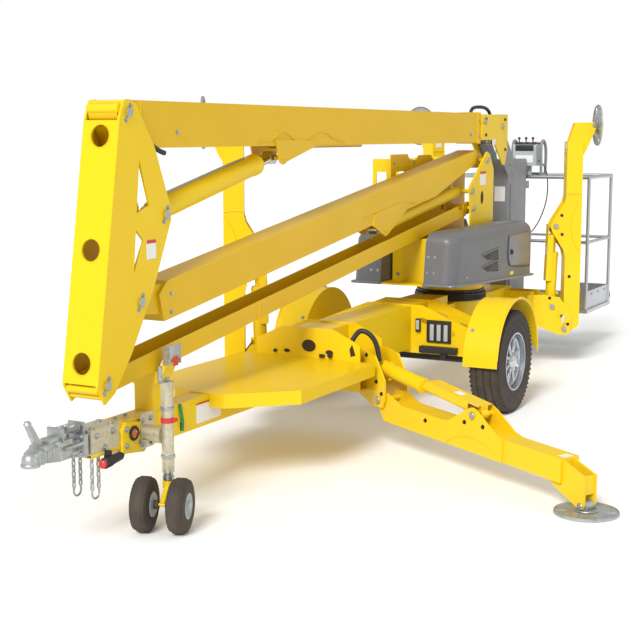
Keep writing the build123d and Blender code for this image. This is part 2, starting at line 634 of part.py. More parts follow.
def coupler_head():
    """Cast coupler: ball socket open below, neck, sliding bar, flange and latch lever."""
    outer = BALL_R + SOCKET_WALL
    head = Pos(BALL_X, 0, BALL_Z) * Sphere(outer)
    head += rod((BALL_X, 0, BALL_Z - SOCKET_SKIRT), (BALL_X, 0, BALL_Z), outer)
    head -= Pos(BALL_X, 0, BALL_Z - SOCKET_SKIRT - outer) * Box(
        4 * outer, 4 * outer, 2 * outer)
    neck = [(BALL_X - 4, BALL_Z - 12), (BALL_X + 150, SLIDE_Z - 40), (BALL_X + 240, SLIDE_Z - 40),
            (BALL_X + 240, SLIDE_Z + 46), (BALL_X + 60, SLIDE_Z + 50), (BALL_X, BALL_Z + 30)]
    head += plate_xz(neck, -36, 36)
    head += rod((BALL_X + 200, 0, SLIDE_Z), (TONGUE_FRONT_X - 36, 0, SLIDE_Z), SLIDE_R)
    flange_x = SLEEVE_FRONT_X - 44
    head += box(flange_x, flange_x + 30, -58, 58, SLIDE_Z - 52, SLIDE_Z + 52)
    lever = [(BALL_X + 40, BALL_Z + 40), (BALL_X + 76, BALL_Z + 44), (BALL_X + 8, LATCH_TOP - 8),
             (BALL_X - 2, LATCH_TOP), (BALL_X - 18, LATCH_TOP - 6)]
    head += plate_xz(lever, -13, 13)
    head -= Pos(BALL_X, 0, BALL_Z) * Sphere(BALL_R + BALL_CLEAR)
    head -= rod((BALL_X, 0, BALL_Z - SOCKET_SKIRT - 80), (BALL_X, 0, BALL_Z), BALL_R + BALL_CLEAR)
    return head


def chain_link(x, y, z, across):
    """One welded chain link standing in its strand, turned a quarter when across."""
    straight = CHAIN_LINK - CHAIN_LINK_W
    half = (CHAIN_LINK_W - 2 * CHAIN_WIRE_R) / 2
    link = None
    for side in (-1, 1):
        bar = rod((side * half, 0, -straight / 2), (side * half, 0, straight / 2), CHAIN_WIRE_R)
        arc_plane = Plane(origin=(half, 0, side * straight / 2), z_dir=(0, 0, side))
        bend = revolve(arc_plane * Circle(CHAIN_WIRE_R),
                       Axis((0, 0, side * straight / 2), (0, 1, 0)), -side * 180)
        link = bar + bend if link is None else link + bar + bend
    return Pos(x, y, z) * (Rot(0, 0, 90) * link if across else link)


def safety_chains():
    """Two safety chains that hang from the coupler sleeve, each a strand of welded links."""
    step = CHAIN_LINK - 2 * CHAIN_WIRE_R - 1.0
    links = []
    for y in CHAIN_Y:
        for x in CHAIN_X:
            for n in range(CHAIN_LINKS):
                z = CHAIN_TOP - CHAIN_LINK / 2 - 1 - n * step
                links.append(chain_link(x, y, z, n % 2 == 1))
    return Compound(children=links)


def rest_floor():
    """Height of the boom rest's trough under the tension link's lower face."""
    drop = REST_LENGTH / 2 * BOOM_RISE / BOOM_RUN
    return link_line_z(REST_X) - LINK_DROP - LINK_H / 2 - drop - REST_GAP


def boom_rest():
    """Post and flared saddle on the tongue that the tension link rests over."""
    half = LINK_W / 2 + REST_GAP
    x0, x1 = REST_X - REST_LENGTH / 2, REST_X + REST_LENGTH / 2
    floor = rest_floor()
    side = [(REST_POST, TONGUE_TOP), (REST_POST, floor - 75), (half + 22, floor - 36),
            (REST_FLARE + 12, REST_CHEEK_TOP - 12), (REST_FLARE, REST_CHEEK_TOP + 4),
            (half + REST_PAD_T, floor + 14), (half + REST_PAD_T, floor)]
    points = side + [(-y, z) for y, z in reversed(side)]
    saddle = plate_yz(points, x0, x1)
    return saddle - box(x0 + 12, x1 - 12, -REST_POST + 10, REST_POST - 10, TONGUE_TOP + 10, floor - 28)


def rest_pads():
    """Two white wear pads inside the boom rest's flared cheeks."""
    x0, x1 = REST_X - REST_LENGTH / 2 + 6, REST_X + REST_LENGTH / 2 - 6
    floor = rest_floor()
    base = LINK_W / 2 + REST_GAP + REST_PAD_T
    lean = (REST_FLARE - base) / (REST_CHEEK_TOP + 4 - floor - 14)
    low, high = floor + 22, REST_CHEEK_TOP + 12
    at = lambda z: base + (z - floor - 14) * lean - 0.2
    pads = []
    for side in (-1, 1):
        outline = [(side * at(low), low), (side * at(high), high),
                   (side * (at(high) - REST_PAD_T + 2), high), (side * (at(low) - REST_PAD_T + 4), low)]
        pads.append(plate_yz(outline, x0, x1))
    return Compound(children=pads)


def jack_bracket():
    """Zinc-plated swivel mount for the jack, bolted to the tongue's near side."""
    y0 = -TONGUE_W / 2 - 0.3
    far = JACK_Y + JACK_TUBE_R + 16
    plate = box(JACK_MOUNT_X[0] + 60, JACK_MOUNT_X[1], -TONGUE_PLATE_HALF - 8, -TONGUE_PLATE_HALF - 0.3,
                TONGUE_BOTTOM + 6, TONGUE_TOP + 22)
    sleeve = pin_y(JACK_X, JACK_PIVOT_Z, far, -TONGUE_PLATE_HALF - 4, 38)
    return plate + sleeve + box(JACK_X - 30, JACK_X + 40, y0 - 18, y0, TONGUE_TOP - 6, TONGUE_TOP + 22)


def jack_outer():
    """Jack's outer tube with its swivel flange, cap and crank."""
    tube = rod((JACK_X, JACK_Y, JACK_TUBE_BOTTOM), (JACK_X, JACK_Y, JACK_TUBE_TOP), JACK_TUBE_R)
    far = JACK_Y + JACK_TUBE_R + 15.7
    tube += pin_y(JACK_X, JACK_PIVOT_Z, JACK_Y + JACK_TUBE_R * 0.8, far, 44)
    tube += rod((JACK_X, JACK_Y, JACK_TUBE_TOP), (JACK_X, JACK_Y, JACK_TUBE_TOP + 26), JACK_TUBE_R + 4)
    inner = JACK_LEG_R + JACK_BORE_CLEAR
    return tube - rod((JACK_X, JACK_Y, JACK_TUBE_BOTTOM - 1),
                      (JACK_X, JACK_Y, JACK_TUBE_TOP - 12), inner)


def jack_leg():
    """Jack's inner leg, which slides in the outer tube."""
    top = JACK_TUBE_TOP - 24
    leg = rod((JACK_X, JACK_Y, JACK_LEG_BOTTOM), (JACK_X, JACK_Y, top), JACK_LEG_R)
    return leg


def jack_wheel_place():
    """Middle of the jack's twin wheels and the direction of their axle."""
    turn = radians(JACK_TURN)
    trail = (-cos(turn) * JACK_TRAIL, -sin(turn) * JACK_TRAIL)
    axle = (sin(turn), -cos(turn))
    return (JACK_X + trail[0], JACK_Y + trail[1]), axle


def jack_fork():
    """Swivelling foot under the jack's leg that carries the twin wheels' axle."""
    (x, y), axle = jack_wheel_place()
    top = JACK_LEG_BOTTOM - 0.4
    fork = rod((JACK_X, JACK_Y, top - 34), (JACK_X, JACK_Y, top), JACK_LEG_R + 5)
    fork += rod((JACK_X, JACK_Y, top - 20), (x, y, JACK_WHEEL_R), 15)
    reach = JACK_WHEEL_GAP / 2 + JACK_WHEEL_W + 6
    start = (x - axle[0] * reach, y - axle[1] * reach, JACK_WHEEL_R)
    end = (x + axle[0] * reach, y + axle[1] * reach, JACK_WHEEL_R)
    return fork + rod(start, end, JACK_AXLE_R)


def jack_wheels():
    """The jack's twin wheels, joined by their hub tube."""
    (x, y), axle = jack_wheel_place()
    plane = Plane(origin=(x, y, JACK_WHEEL_R), x_dir=(0, 0, 1), z_dir=(axle[0], axle[1], 0))
    parts = None
    for side in (-1, 1):
        inner = side * JACK_WHEEL_GAP / 2
        wheel = Pos(0, 0, inner + side * JACK_WHEEL_W / 2) * Cylinder(JACK_WHEEL_R, JACK_WHEEL_W)
        wheel = fillet(wheel.edges().filter_by(GeomType.CIRCLE), JACK_WHEEL_W * 0.4)
        wheel -= Pos(0, 0, inner + side * JACK_WHEEL_W) * Cylinder(JACK_RIM_R, 26)
        parts = wheel if parts is None else parts + wheel
    hub_gap = 12.0
    for side in (-1, 1):
        parts += Pos(0, 0, side * (JACK_WHEEL_GAP / 4 + hub_gap)) * Cylinder(
            22, JACK_WHEEL_GAP / 2 - hub_gap)
    parts -= Cylinder(JACK_AXLE_R + 0.5, 4 * (JACK_WHEEL_GAP + JACK_WHEEL_W))
    return plane.location * parts


def axle_beam():
    """Round axle between the road wheels."""
    reach = TRACK / 2 - HUB_IN + 20
    axle = rod((0, -reach, TYRE_R), (0, reach, TYRE_R), AXLE_R)
    stub = TRACK / 2 + HUB_OUT - 30
    return axle + rod((0, -stub, TYRE_R), (0, stub, TYRE_R), 17)


def road_tyre(side):
    """Road tyre with round shoulders and ring grooves in its tread."""
    y = side * TRACK / 2
    plane = Plane(origin=(0, y, TYRE_R), x_dir=(1, 0, 0), z_dir=(0, 1, 0))
    tyre = Cylinder(TYRE_R, TYRE_W)
    tyre = fillet(tyre.edges().filter_by(GeomType.CIRCLE), TYRE_ROUND)
    for n in (-1, 0, 1):
        ring = Pos(0, 0, n * TREAD_PITCH) * (
            Cylinder(TYRE_R + 5, TREAD_GROOVE_W) - Cylinder(TYRE_R - TREAD_GROOVE, TREAD_GROOVE_W))
        tyre -= ring
    return plane.location * (tyre - Cylinder(TYRE_BORE_R, TYRE_W + 2))


def road_rim(side):
    """Steel rim with its pierced disc and hub, open at both sides."""
    y = side * TRACK / 2
    plane = Plane(origin=(0, y, TYRE_R), x_dir=(1, 0, 0), z_dir=(0, side, 0))
    rim = Cylinder(TYRE_BORE_R, RIM_W) - Cylinder(TYRE_BORE_R - RIM_WALL, RIM_W + 2)
    for end in (-1, 1):
        rim += Pos(0, 0, end * (TYRE_W / 2 - 9)) * (
            Cylinder(TYRE_BORE_R, 18) - Cylinder(TYRE_BORE_R - RIM_WALL, 20))
    disc = Pos(0, 0, RIM_DISC_OUT) * Cylinder(TYRE_BORE_R - RIM_WALL + 1, RIM_DISC_T)
    for n in range(RIM_HOLES):
        turn = radians(360 / RIM_HOLES * n)
        hole = (RIM_HOLE_PITCH_R * cos(turn), RIM_HOLE_PITCH_R * sin(turn), RIM_DISC_OUT)
        disc -= Pos(*hole) * Cylinder(RIM_HOLE_R, RIM_DISC_T + 2)
    hub = Pos(0, 0, (HUB_OUT - HUB_IN + 60) / 2) * Cylinder(HUB_R, HUB_OUT + HUB_IN - 60)
    rim += disc + hub
    rim -= Pos(0, 0, -40) * Cylinder(17 + AXLE_BORE_CLEAR, 2 * HUB_OUT + 30)
    rim -= Pos(0, 0, -HUB_IN) * Cylinder(AXLE_R + AXLE_BORE_CLEAR, 2 * (HUB_IN - 18))
    return plane.location * rim


def mudguard(side):
    """Rolled steel mudguard with an inner wall, on the axle plate's end."""
    y0, y1 = sorted((side * GUARD_IN_Y, side * GUARD_OUT_Y))
    guard = pin_y(GUARD_X, TYRE_R, y0, y1, GUARD_R) - pin_y(GUARD_X, TYRE_R, y0 - 1, y1 + 1,
                                                           GUARD_R - GUARD_T)
    wall_y = sorted((side * GUARD_IN_Y, side * (GUARD_IN_Y + GUARD_T)))
    wall = pin_y(GUARD_X, TYRE_R, wall_y[0], wall_y[1], GUARD_R - 1)
    wall -= box(-2 * GUARD_R, 2 * GUARD_R, wall_y[0] - 1, wall_y[1] + 1, TYRE_R - GUARD_R - 1,
                TYRE_R + AXLE_R + 14)
    guard -= box(-2 * GUARD_R, 0, y0 - 1, y1 + 1, TYRE_R - GUARD_R - 1, GUARD_FRONT_Z)
    guard -= box(-1, 2 * GUARD_R, y0 - 1, y1 + 1, TYRE_R - GUARD_R - 1, GUARD_REAR_Z)
    return guard + wall


def link_line_z(x):
    """Height of the tension link's middle line at x."""
    return KNUCKLE_LINK_PIN.z + (x - KNUCKLE_LINK_PIN.x) * BOOM_RISE / BOOM_RUN


def boom_line_z(x):
    """Height of the lower boom's middle line at x."""
    return KNUCKLE_BOOM_PIN.z - 62.0 + (x - KNUCKLE_BOOM_PIN.x) * 0.1405


def tension_link():
    """Open-topped channel that keeps the knuckle upright, with pin bosses at its ends."""
    start, end = KNUCKLE_LINK_PIN, MAST_LINK_PIN
    ux = BOOM_RUN / (BOOM_RUN ** 2 + BOOM_RISE ** 2) ** 0.5
    uz = BOOM_RISE / (BOOM_RUN ** 2 + BOOM_RISE ** 2) ** 0.5
    a = (start.x + ux * 40, start.z + uz * 40 - LINK_DROP)
    b = (end.x - ux * 40, end.z - uz * 40 - LINK_DROP)
    channel = sloped_box(a, b, LINK_W, LINK_H, LINK_WALL, open_top=True)
    half = LINK_W / 2
    near, far, low = LINK_NOTCH
    notch = [(end.x - ux * along - uz * up, end.z - uz * along + ux * up)
             for along, up in ((near, low), (far, low), (far, LINK_H), (near, LINK_H))]
    channel -= plate_xz(notch, -half - 1, half + 1)
    for pin in (start, end):
        for side in (-1, 1):
            channel += pin_y(pin.x, pin.z, side * (half - 14), side * half, LINK_H / 2)
        channel += pin_y(pin.x, pin.z, -half, half, 24)
        channel -= pin_y(pin.x, pin.z, -half - 1, half + 1, ARM_PIN_R + PIN_CLEAR)
    return channel


def lower_boom():
    """Lower boom: welded box, tapered at the mast, with the cylinder's ears underneath."""
    half_h = LOWER_H / 2
    x0, x1, x2 = LOWER_FRONT_X, LOWER_TAPER_X, LOWER_REAR_X
    z = boom_line_z
    outline = [(x0 - 30, z(x0) - half_h + 10), (x1, z(x1) - half_h), (x2, z(x2) + half_h - LOWER_TAPER_H),
               (x2, z(x2) + half_h), (x0, z(x0) + half_h), (x0 - 70, z(x0) + half_h - 60)]
    half = LOWER_W / 2
    boom = plate_xz(outline, -half, half)
    t = LOWER_WALL
    inner = [(x0 + 20, z(x0) - half_h + t + 2), (x1, z(x1) - half_h + t),
             (x2 - 60, z(x2 - 60) + half_h - LOWER_TAPER_H + t + 10), (x2 - 60, z(x2 - 60) + half_h - t),
             (x0 + 20, z(x0) + half_h - t)]
    boom -= plate_xz(inner, -half + t, half - t)
    pin = KNUCKLE_BOOM_PIN
    lobe_half = LOWER_LOBE_W / 2
    boom += lobed(((pin.x, pin.z, PIVOT_LOBE_R), (x0 + 60, z(x0) + 10, 80)), -lobe_half, lobe_half)
    mast = MAST_BOOM_PIN
    boom += lobed(((mast.x, mast.z, PIVOT_LOBE_R), (x2 - 90, z(x2 - 90) + 48, 42)), -lobe_half, lobe_half)
    eye = LOWER_CYL_EYE
    ear = [(eye.x - 190, z(eye.x - 190) - half_h + 4), (eye.x - 40, eye.z - 26), (eye.x, eye.z - 42),
           (eye.x + 40, eye.z - 30), (eye.x + 330, z(eye.x + 330) - half_h + 4),
           (eye.x + 300, z(eye.x + 300) - half_h + 70), (eye.x - 160, z(eye.x - 160) - half_h + 74)]
    for side in (-1, 1):
        boom += plate_xz(ear, side * (half - 1), side * (half + 9))
        boom += pin_y(eye.x, eye.z, side * (LIFT_EYE_W / 2 + 5), side * (half + 14), CREST_PIN_R)
    for end in (pin, mast):
        boom -= pin_y(end.x, end.z, -half - 5, half + 5, ARM_PIN_R + PIN_CLEAR)
    return boom


def knuckle():
    """Upright between the booms: two cut plates, a pierced front plate and its pins."""
    upper, cyl, boom, link = UPPER_PIN, UPPER_CYL_BASE, KNUCKLE_BOOM_PIN, KNUCKLE_LINK_PIN
    outline = [(upper.x - 66, upper.z - 24), (upper.x - 30, upper.z + 56), (upper.x + 10, upper.z + 61),
               (upper.x + 60, upper.z + 40), (-3084, 1791), (cyl.x + 44, cyl.z + 28),
               (cyl.x + 42, cyl.z - 30), (-3106, 1122), (-3289, 838), (link.x + 62, link.z - 44),
               (link.x - 14, link.z - 86), (link.x - 66, link.z + 2)]
    windows = ([(-3203, 1725), (-3232, 1480), (-3128, 1510)], [(-3240, 1405), (-3180, 1350), (-3262, 1205)])
    half = KNUCKLE_HALF
    shape = None
    for side in (-1, 1):
        cheek = plate_xz(outline, side * (half - KNUCKLE_T), side * half)
        for window in windows:
            cheek -= plate_xz(window, side * (half - KNUCKLE_T - 1), side * (half + 1))
        shape = cheek if shape is None else shape + cheek
    low, high = (link.x - 66, link.z + 2), (upper.x - 66, upper.z - 24)
    slope = (high[0] - low[0]) / (high[1] - low[1])
    top_z, bottom_z = high[1] - 10, low[1] + 6
    x_at = lambda z: low[0] + (z - low[1]) * slope
    front = plate_xz([(x_at(bottom_z), bottom_z), (x_at(bottom_z) + KNUCKLE_FRONT_T, bottom_z),
                      (x_at(top_z) + KNUCKLE_FRONT_T, top_z), (x_at(top_z), top_z)],
                     -half + 1, half - 1)
    for z in KNUCKLE_HOLES_Z:
        front -= rod((x_at(z) - 30, 0, z), (x_at(z) + 40, 0, z), KNUCKLE_HOLE_R)
    shape += front
    for pin in (upper, boom, link):
        shape += pin_y(pin.x, pin.z, -half - 8, half + 8, ARM_PIN_R)
    shape += pin_y(cyl.x, cyl.z, -half - 8, half + 8, ARM_PIN_R)
    return shape


def upper_boom():
    """Outer section of the upper boom: hollow box, pivot head, cylinder ears and end collar."""
    half = UPPER_W / 2
    t = UPPER_WALL
    boom = box(UPPER_FRONT_X, UPPER_REAR_X, -half, half, UPPER_BOTTOM, UPPER_TOP)
    boom -= box(INNER_FRONT_X - 250, UPPER_REAR_X + 1, -half + t, half - t, UPPER_BOTTOM + t, UPPER_TOP - t)
    pin = UPPER_PIN
    boom += pin_y(pin.x, pin.z, -half, half, UPPER_TOP - pin.z)
    boom += plate_xz([(pin.x, UPPER_TOP), (pin.x - 20, pin.z - 50), (pin.x + 40, UPPER_BOTTOM),
                      (UPPER_FRONT_X + 10, UPPER_BOTTOM), (UPPER_FRONT_X + 10, UPPER_TOP)], -half, half)
    eye = UPPER_CYL_EYE
    ear = [(eye.x - 92, UPPER_BOTTOM + 34), (eye.x - 60, UPPER_BOTTOM - 10), (eye.x - 30, eye.z - 28),
           (eye.x + 6, eye.z - 38), (eye.x + 44, eye.z - 22), (eye.x + 400, UPPER_BOTTOM - 2),
           (eye.x + 400, UPPER_BOTTOM + 30)]
    for side in (-1, 1):
        boom += plate_xz(ear, side * (half - 1), side * (half + 8))
        boom += pin_y(eye.x, eye.z, side * (LIFT_EYE_W / 2 + 5), side * (half + 12), CREST_PIN_R)
    boom += box(UPPER_REAR_X - COLLAR_L, UPPER_REAR_X, -half - COLLAR_T, half + COLLAR_T,
                UPPER_BOTTOM - COLLAR_T, UPPER_TOP + COLLAR_T)
    boom -= box(UPPER_REAR_X - COLLAR_L - 1, UPPER_REAR_X + 1, -half + t, half - t,
                UPPER_BOTTOM + t, UPPER_TOP - t)
    boom += box(-1750, -786, -half + 20, half - 20, UPPER_BOTTOM - 10, UPPER_BOTTOM + 1)
    boom -= pin_y(pin.x, pin.z, -half - 1, half + 1, ARM_PIN_R + PIN_CLEAR)
    return boom


def inner_boom():
    """Telescoping inner section of the upper boom, with its slide pads."""
    half = INNER_W / 2
    t = INNER_WALL
    boom = box(INNER_FRONT_X, INNER_REAR_X, -half, half, INNER_BOTTOM, INNER_TOP)
    boom -= box(INNER_FRONT_X - 1, INNER_REAR_X - t, -half + t, half - t, INNER_BOTTOM + t,
                INNER_TOP - t)
    gap_y = UPPER_W / 2 - UPPER_WALL - 0.3
    low, top = UPPER_BOTTOM + UPPER_WALL + 0.3, UPPER_TOP - UPPER_WALL - 0.3
    x = INNER_FRONT_X + 20
    boom += box(x, x + 90, -half + 8, half - 8, low, INNER_BOTTOM + 1)
    boom += box(x, x + 90, -half + 8, half - 8, INNER_TOP - 1, top)
    for side in (-1, 1):
        boom += box(x, x + 90, side * (half - 1), side * gap_y, INNER_BOTTOM + 20, INNER_TOP - 20)
    return boom


def boom_tip():
    """End plate and two cheeks that carry the platform pin and the levelling cylinder."""
    outline = [(TIP_FRONT_X, UPPER_TOP - 6), (TIP_REAR_X, UPPER_TOP), (TIP_REAR_X, TIP_BOTTOM + 130),
               (TIP_REAR_X - 50, TIP_BOTTOM), (TIP_REAR_X - 96, TIP_BOTTOM),
               (TIP_FRONT_X + 250, UPPER_BOTTOM + 20), (TIP_FRONT_X, UPPER_BOTTOM + 20)]
    reach = TIP_PLATE_Y + TIP_PLATE_T
    end = INNER_REAR_X + 0.3
    tip = box(end, end + TIP_END_T, -TIP_PLATE_Y - 1, TIP_PLATE_Y + 1, UPPER_BOTTOM + 20, UPPER_TOP - 8)
    tip += box(end, TIP_FRONT_X + 170, -TIP_PLATE_Y - 1, TIP_PLATE_Y + 1, UPPER_TOP - 20, UPPER_TOP - 8)
    for side in (-1, 1):
        tip += plate_xz(outline, side * TIP_PLATE_Y, side * reach)
    for pin in (TIP_PIN, LEVEL_BASE):
        tip += pin_y(pin.x, pin.z, -reach - 6, reach + 6, ARM_PIN_R)
    return tip


def platform_column():
    """Grey column behind the boom tip, hung on the platform pin and bolted to the basket."""
    half = COLUMN_HALF
    column = box(COLUMN_FRONT_X, COLUMN_REAR_X, -half, half, COLUMN_BOTTOM, COLUMN_TOP)
    t = COLUMN_WALL
    column -= box(COLUMN_FRONT_X + t, COLUMN_REAR_X - t, -half + t, half - t,
                  COLUMN_BOTTOM + t, COLUMN_TOP - t)
    outline = [(TIP_PIN.x - 40, TIP_PIN.z + 30), (TIP_PIN.x + 30, TIP_PIN.z + 40),
               (COLUMN_FRONT_X + 120, COLUMN_TOP - 10), (COLUMN_FRONT_X + 120, COLUMN_TOP - 130),
               (COLUMN_FRONT_X - 20, COLUMN_TOP - 130), (LEVEL_EYE.x - 10, LEVEL_EYE.z - 40),
               (LEVEL_EYE.x - 34, LEVEL_EYE.z)]
    for side in (-1, 1):
        column += plate_xz(outline, side * (half - 4), side * (half + 8))
    for side in (-1, 1):
        column += pin_y(LEVEL_EYE.x, LEVEL_EYE.z, side * 26, side * (half - 2), CREST_PIN_R)
    column -= pin_y(TIP_PIN.x, TIP_PIN.z, -half - 10, half + 10, ARM_PIN_R + PIN_CLEAR)
    for z in (BASKET_BOTTOM + 130, BASKET_MID, BASKET_TOP - 80):
        column += box(COLUMN_REAR_X - 1, BASKET_FRONT_X - BASKET_POST_R - 0.3, -half, half, z - 30, z + 30)
    return column


def rail(points, radius=BASKET_RAIL_R):
    """Straight round tubes through points, with balls at the corners."""
    shape = None
    for a, b in zip(points, points[1:]):
        piece = rod(a, b, radius)
        shape = piece if shape is None else shape + piece
    for point in points[1:-1]:
        shape += Pos(*point) * Sphere(radius + 0.6)
    return shape


def platform_basket():
    """Basket of round tube: corner posts, three rail heights and a toe board."""
    x0, x1, h = BASKET_FRONT_X, BASKET_REAR_X, BASKET_HALF - BASKET_RAIL_R - 3
    floor_z = BASKET_BOTTOM + BASKET_FLOOR_T
    shape = None
    top = BASKET_TOP - BASKET_RAIL_R
    for z, radius in ((BASKET_MID, BASKET_MID_R), (top, BASKET_RAIL_R)):
        ring = rail([(x1, GATE_HALF, z), (x1, h, z), (x0, h, z), (x0, -h, z), (x1, -h, z),
                     (x1, -GATE_HALF, z)], radius)
        shape = ring if shape is None else shape + ring
    for side in (-1, 1):
        shape += Pos(x1, side * GATE_HALF, top) * Sphere(BASKET_RAIL_R + 0.6)
    for x, y in ((x0, -h), (x0, 0), (x0, h), (x1, -h), (x1, h), (x1, -GATE_HALF), (x1, GATE_HALF)):
        shape += rod((x, y, floor_z - 3), (x, y, top), BASKET_POST_R)
    toe_top = floor_z + BASKET_TOE
    for y in (-h, h):
        shape += box(x0, x1, y - 3, y + 3, floor_z - 1, toe_top)
    shape += box(x0 - 3, x0 + 3, -h, h, floor_z - 1, toe_top)
    for side in (-1, 1):
        y0, y1 = sorted((side * GATE_HALF, side * h))
        shape += box(x1 - 3, x1 + 3, y0, y1, floor_z - 1, toe_top)
    reach = BASKET_RAIL_R + 3
    shape += box(x0 - reach, x1 + reach, -BASKET_HALF, BASKET_HALF,
                 BASKET_BOTTOM, floor_z)
    post_y = GATE_HALF - BASKET_RAIL_R - GATE_GAP
    shape += box(x1 - 12, x1 + 12, -GATE_HALF, 30 - post_y, floor_z - 1, gate_foot() - 0.3)
    t = BASKET_PLATE_T
    for side in (-1, 1):
        y0, y1 = sorted((side * t, side * (BASKET_HALF - t)))
        shape -= box(x0 - reach + t, x1 + reach - t, y0, y1, BASKET_BOTTOM - 1, floor_z - t)
    return shape


def gate_foot():
    """Height of the gate's lowest point."""
    return BASKET_BOTTOM + BASKET_FLOOR_T + GATE_LIFT - GATE_TUBE_R - 0.6


def platform_gate():
    """Rear gate of the basket, hinged at one post."""
    x = BASKET_REAR_X
    r = GATE_TUBE_R
    reach = GATE_HALF - BASKET_RAIL_R - r - GATE_GAP
    y0, y1 = -reach, reach
    low = BASKET_BOTTOM + BASKET_FLOOR_T + GATE_LIFT
    top = BASKET_TOP - BASKET_RAIL_R
    loop = [(x, y0, low), (x, y0, top), (x, y1, top), (x, y1, low), (x, y0, low)]
    gate = rail(loop, r) + Pos(x, y0, low) * Sphere(r + 0.6)
    return gate + rod((x, y0, BASKET_MID), (x, y1, BASKET_MID), r * 0.9)


def platform_console():
    """Upper control box on the basket's front rail."""
    length, width, height = CONSOLE_SIZE
    x0, z0 = CONSOLE_X, CONSOLE_Z
    y0 = CONSOLE_Y - width / 2
    body = box(x0, x0 + length, y0, y0 + width, z0, z0 + height)
    body = fillet(body.edges().filter_by(Axis.Y).group_by(Axis.Z)[-1], 28)
    clamp_x = BASKET_FRONT_X
    return body + box(clamp_x - 14, clamp_x + 14, y0 + 60, y0 + 100, BASKET_TOP + 0.3, z0 + 5)


def slew_ring():
    """Slewing bearing on the pedestal, with its pinion housing."""
    ring = rod((SLEW_X, 0, PEDESTAL_TOP + 0.3), (SLEW_X, 0, RING_TOP), RING_R)
    bump = rod((SLEW_X - RING_R - 10, 70, PEDESTAL_TOP + 0.3), (SLEW_X - RING_R - 10, 70, RING_TOP), 44)
    return ring + bump


def hood_outline(inset):
    """Corners of one cover in plan, its two outer ones to be rounded, as x0, x1, y0, y1."""
    return (HOOD_FRONT_X + inset, HOOD_REAR_X - inset, HOOD_IN_Y + inset, HOOD_OUT_Y - inset)


def turntable():
    """Rotating table with its drum, the mast plates and the yellow box between the covers."""
    inset = HOOD_WALL + TABLE_GAP
    x0, x1, _, h = hood_outline(inset)
    table = box(x0, x1, -h, h, TABLE_LOW, TABLE_TOP)
    table = fillet(table.edges().filter_by(Axis.Z), HOOD_ROUND - inset)
    table += rod((SLEW_X, 0, RING_TOP + RING_GAP), (SLEW_X, 0, TABLE_LOW + 1), DRUM_R)
    t = PLATE_T
    bh = BOX_HALF
    hull = box(BOX_FRONT_X, BOX_REAR_X, -bh, bh, TABLE_TOP - 1, BOX_TOP)
    hull -= box(BOX_FRONT_X + t, BOX_REAR_X - t, -bh + t, bh - t, TABLE_TOP, BOX_TOP - t)
    table += hull
    boom, link, cyl = MAST_BOOM_PIN, MAST_LINK_PIN, LOWER_CYL_BASE
    outline = [(cyl.x - 70, BOX_TOP - 200), (link.x - 62, link.z - 40), (cyl.x - 52, cyl.z + 30),
               (cyl.x - 10, cyl.z + 62), (boom.x - 66, boom.z + 26), (boom.x - 10, boom.z + 66),
               (boom.x + 50, boom.z + 50), (BOX_REAR_X + 10, boom.z - 70), (BOX_REAR_X + 10, BOX_TOP - 200)]
    for side in (-1, 1):
        table += plate_xz(outline, side * MAST_Y, side * (MAST_Y + MAST_T))
    for pin in (boom, link, cyl):
        table += pin_y(pin.x, pin.z, -MAST_Y - MAST_T - 6, MAST_Y + MAST_T + 6, ARM_PIN_R)
    return table


def cover(side):
    """Moulded cover beside the booms: a hollow shell with rounded corners and a sloped lower edge."""
    low = min(HOOD_LOW_FRONT, HOOD_LOW_REAR)

    def block(inset, bottom):
        x0, x1, y0, y1 = hood_outline(inset)
        body = box(x0, x1, y0, y1, bottom, HOOD_TOP - inset)
        corner = [e for e in body.edges().filter_by(Axis.Z) if e.center().Y > (y0 + y1) / 2]
        body = fillet(corner, HOOD_ROUND - inset)
        top = [e for e in body.faces().sort_by(Axis.Z)[-1].edges() if e.center().Y > y0 + 1]
        return fillet(top, HOOD_EDGE - inset)

    shell = block(0.0, low) - block(HOOD_WALL, low - 1)
    x0, x1, y0, y1 = hood_outline(0.0)
    shell -= plate_xz([(x0 - 1, low - 2), (x1 + 1, low - 2), (x1 + 1, HOOD_LOW_REAR),
                       (x0 - 1, HOOD_LOW_FRONT)], y0 - 1, y1 + 1)
    shell -= box(x0 + HOOD_WALL, x1 - HOOD_WALL, y0 - 1, y0 + HOOD_WALL + 1, low - 2, TABLE_TOP + TABLE_GAP)
    end = x1 - HOOD_WALL - TABLE_GAP
    shell -= box(end, x1 + 1, y0 - 1, y0 + HOOD_WALL + 1, low - 2, TABLE_LOW - TABLE_GAP)
    return mirror(shell, Plane.XZ) if side < 0 else shell


def power_pack(side):
    """Plain block for the batteries on one side and the pump and tank on the other."""
    m = PACK_MARGIN
    y0, y1 = sorted((side * (HOOD_IN_Y + m), side * (HOOD_OUT_Y - m)))
    top = PACK_TOP_NEAR if side < 0 else PACK_TOP_FAR
    return box(HOOD_FRONT_X + 130, HOOD_REAR_X - 420, y0, y1, TABLE_TOP + TABLE_GAP, top)


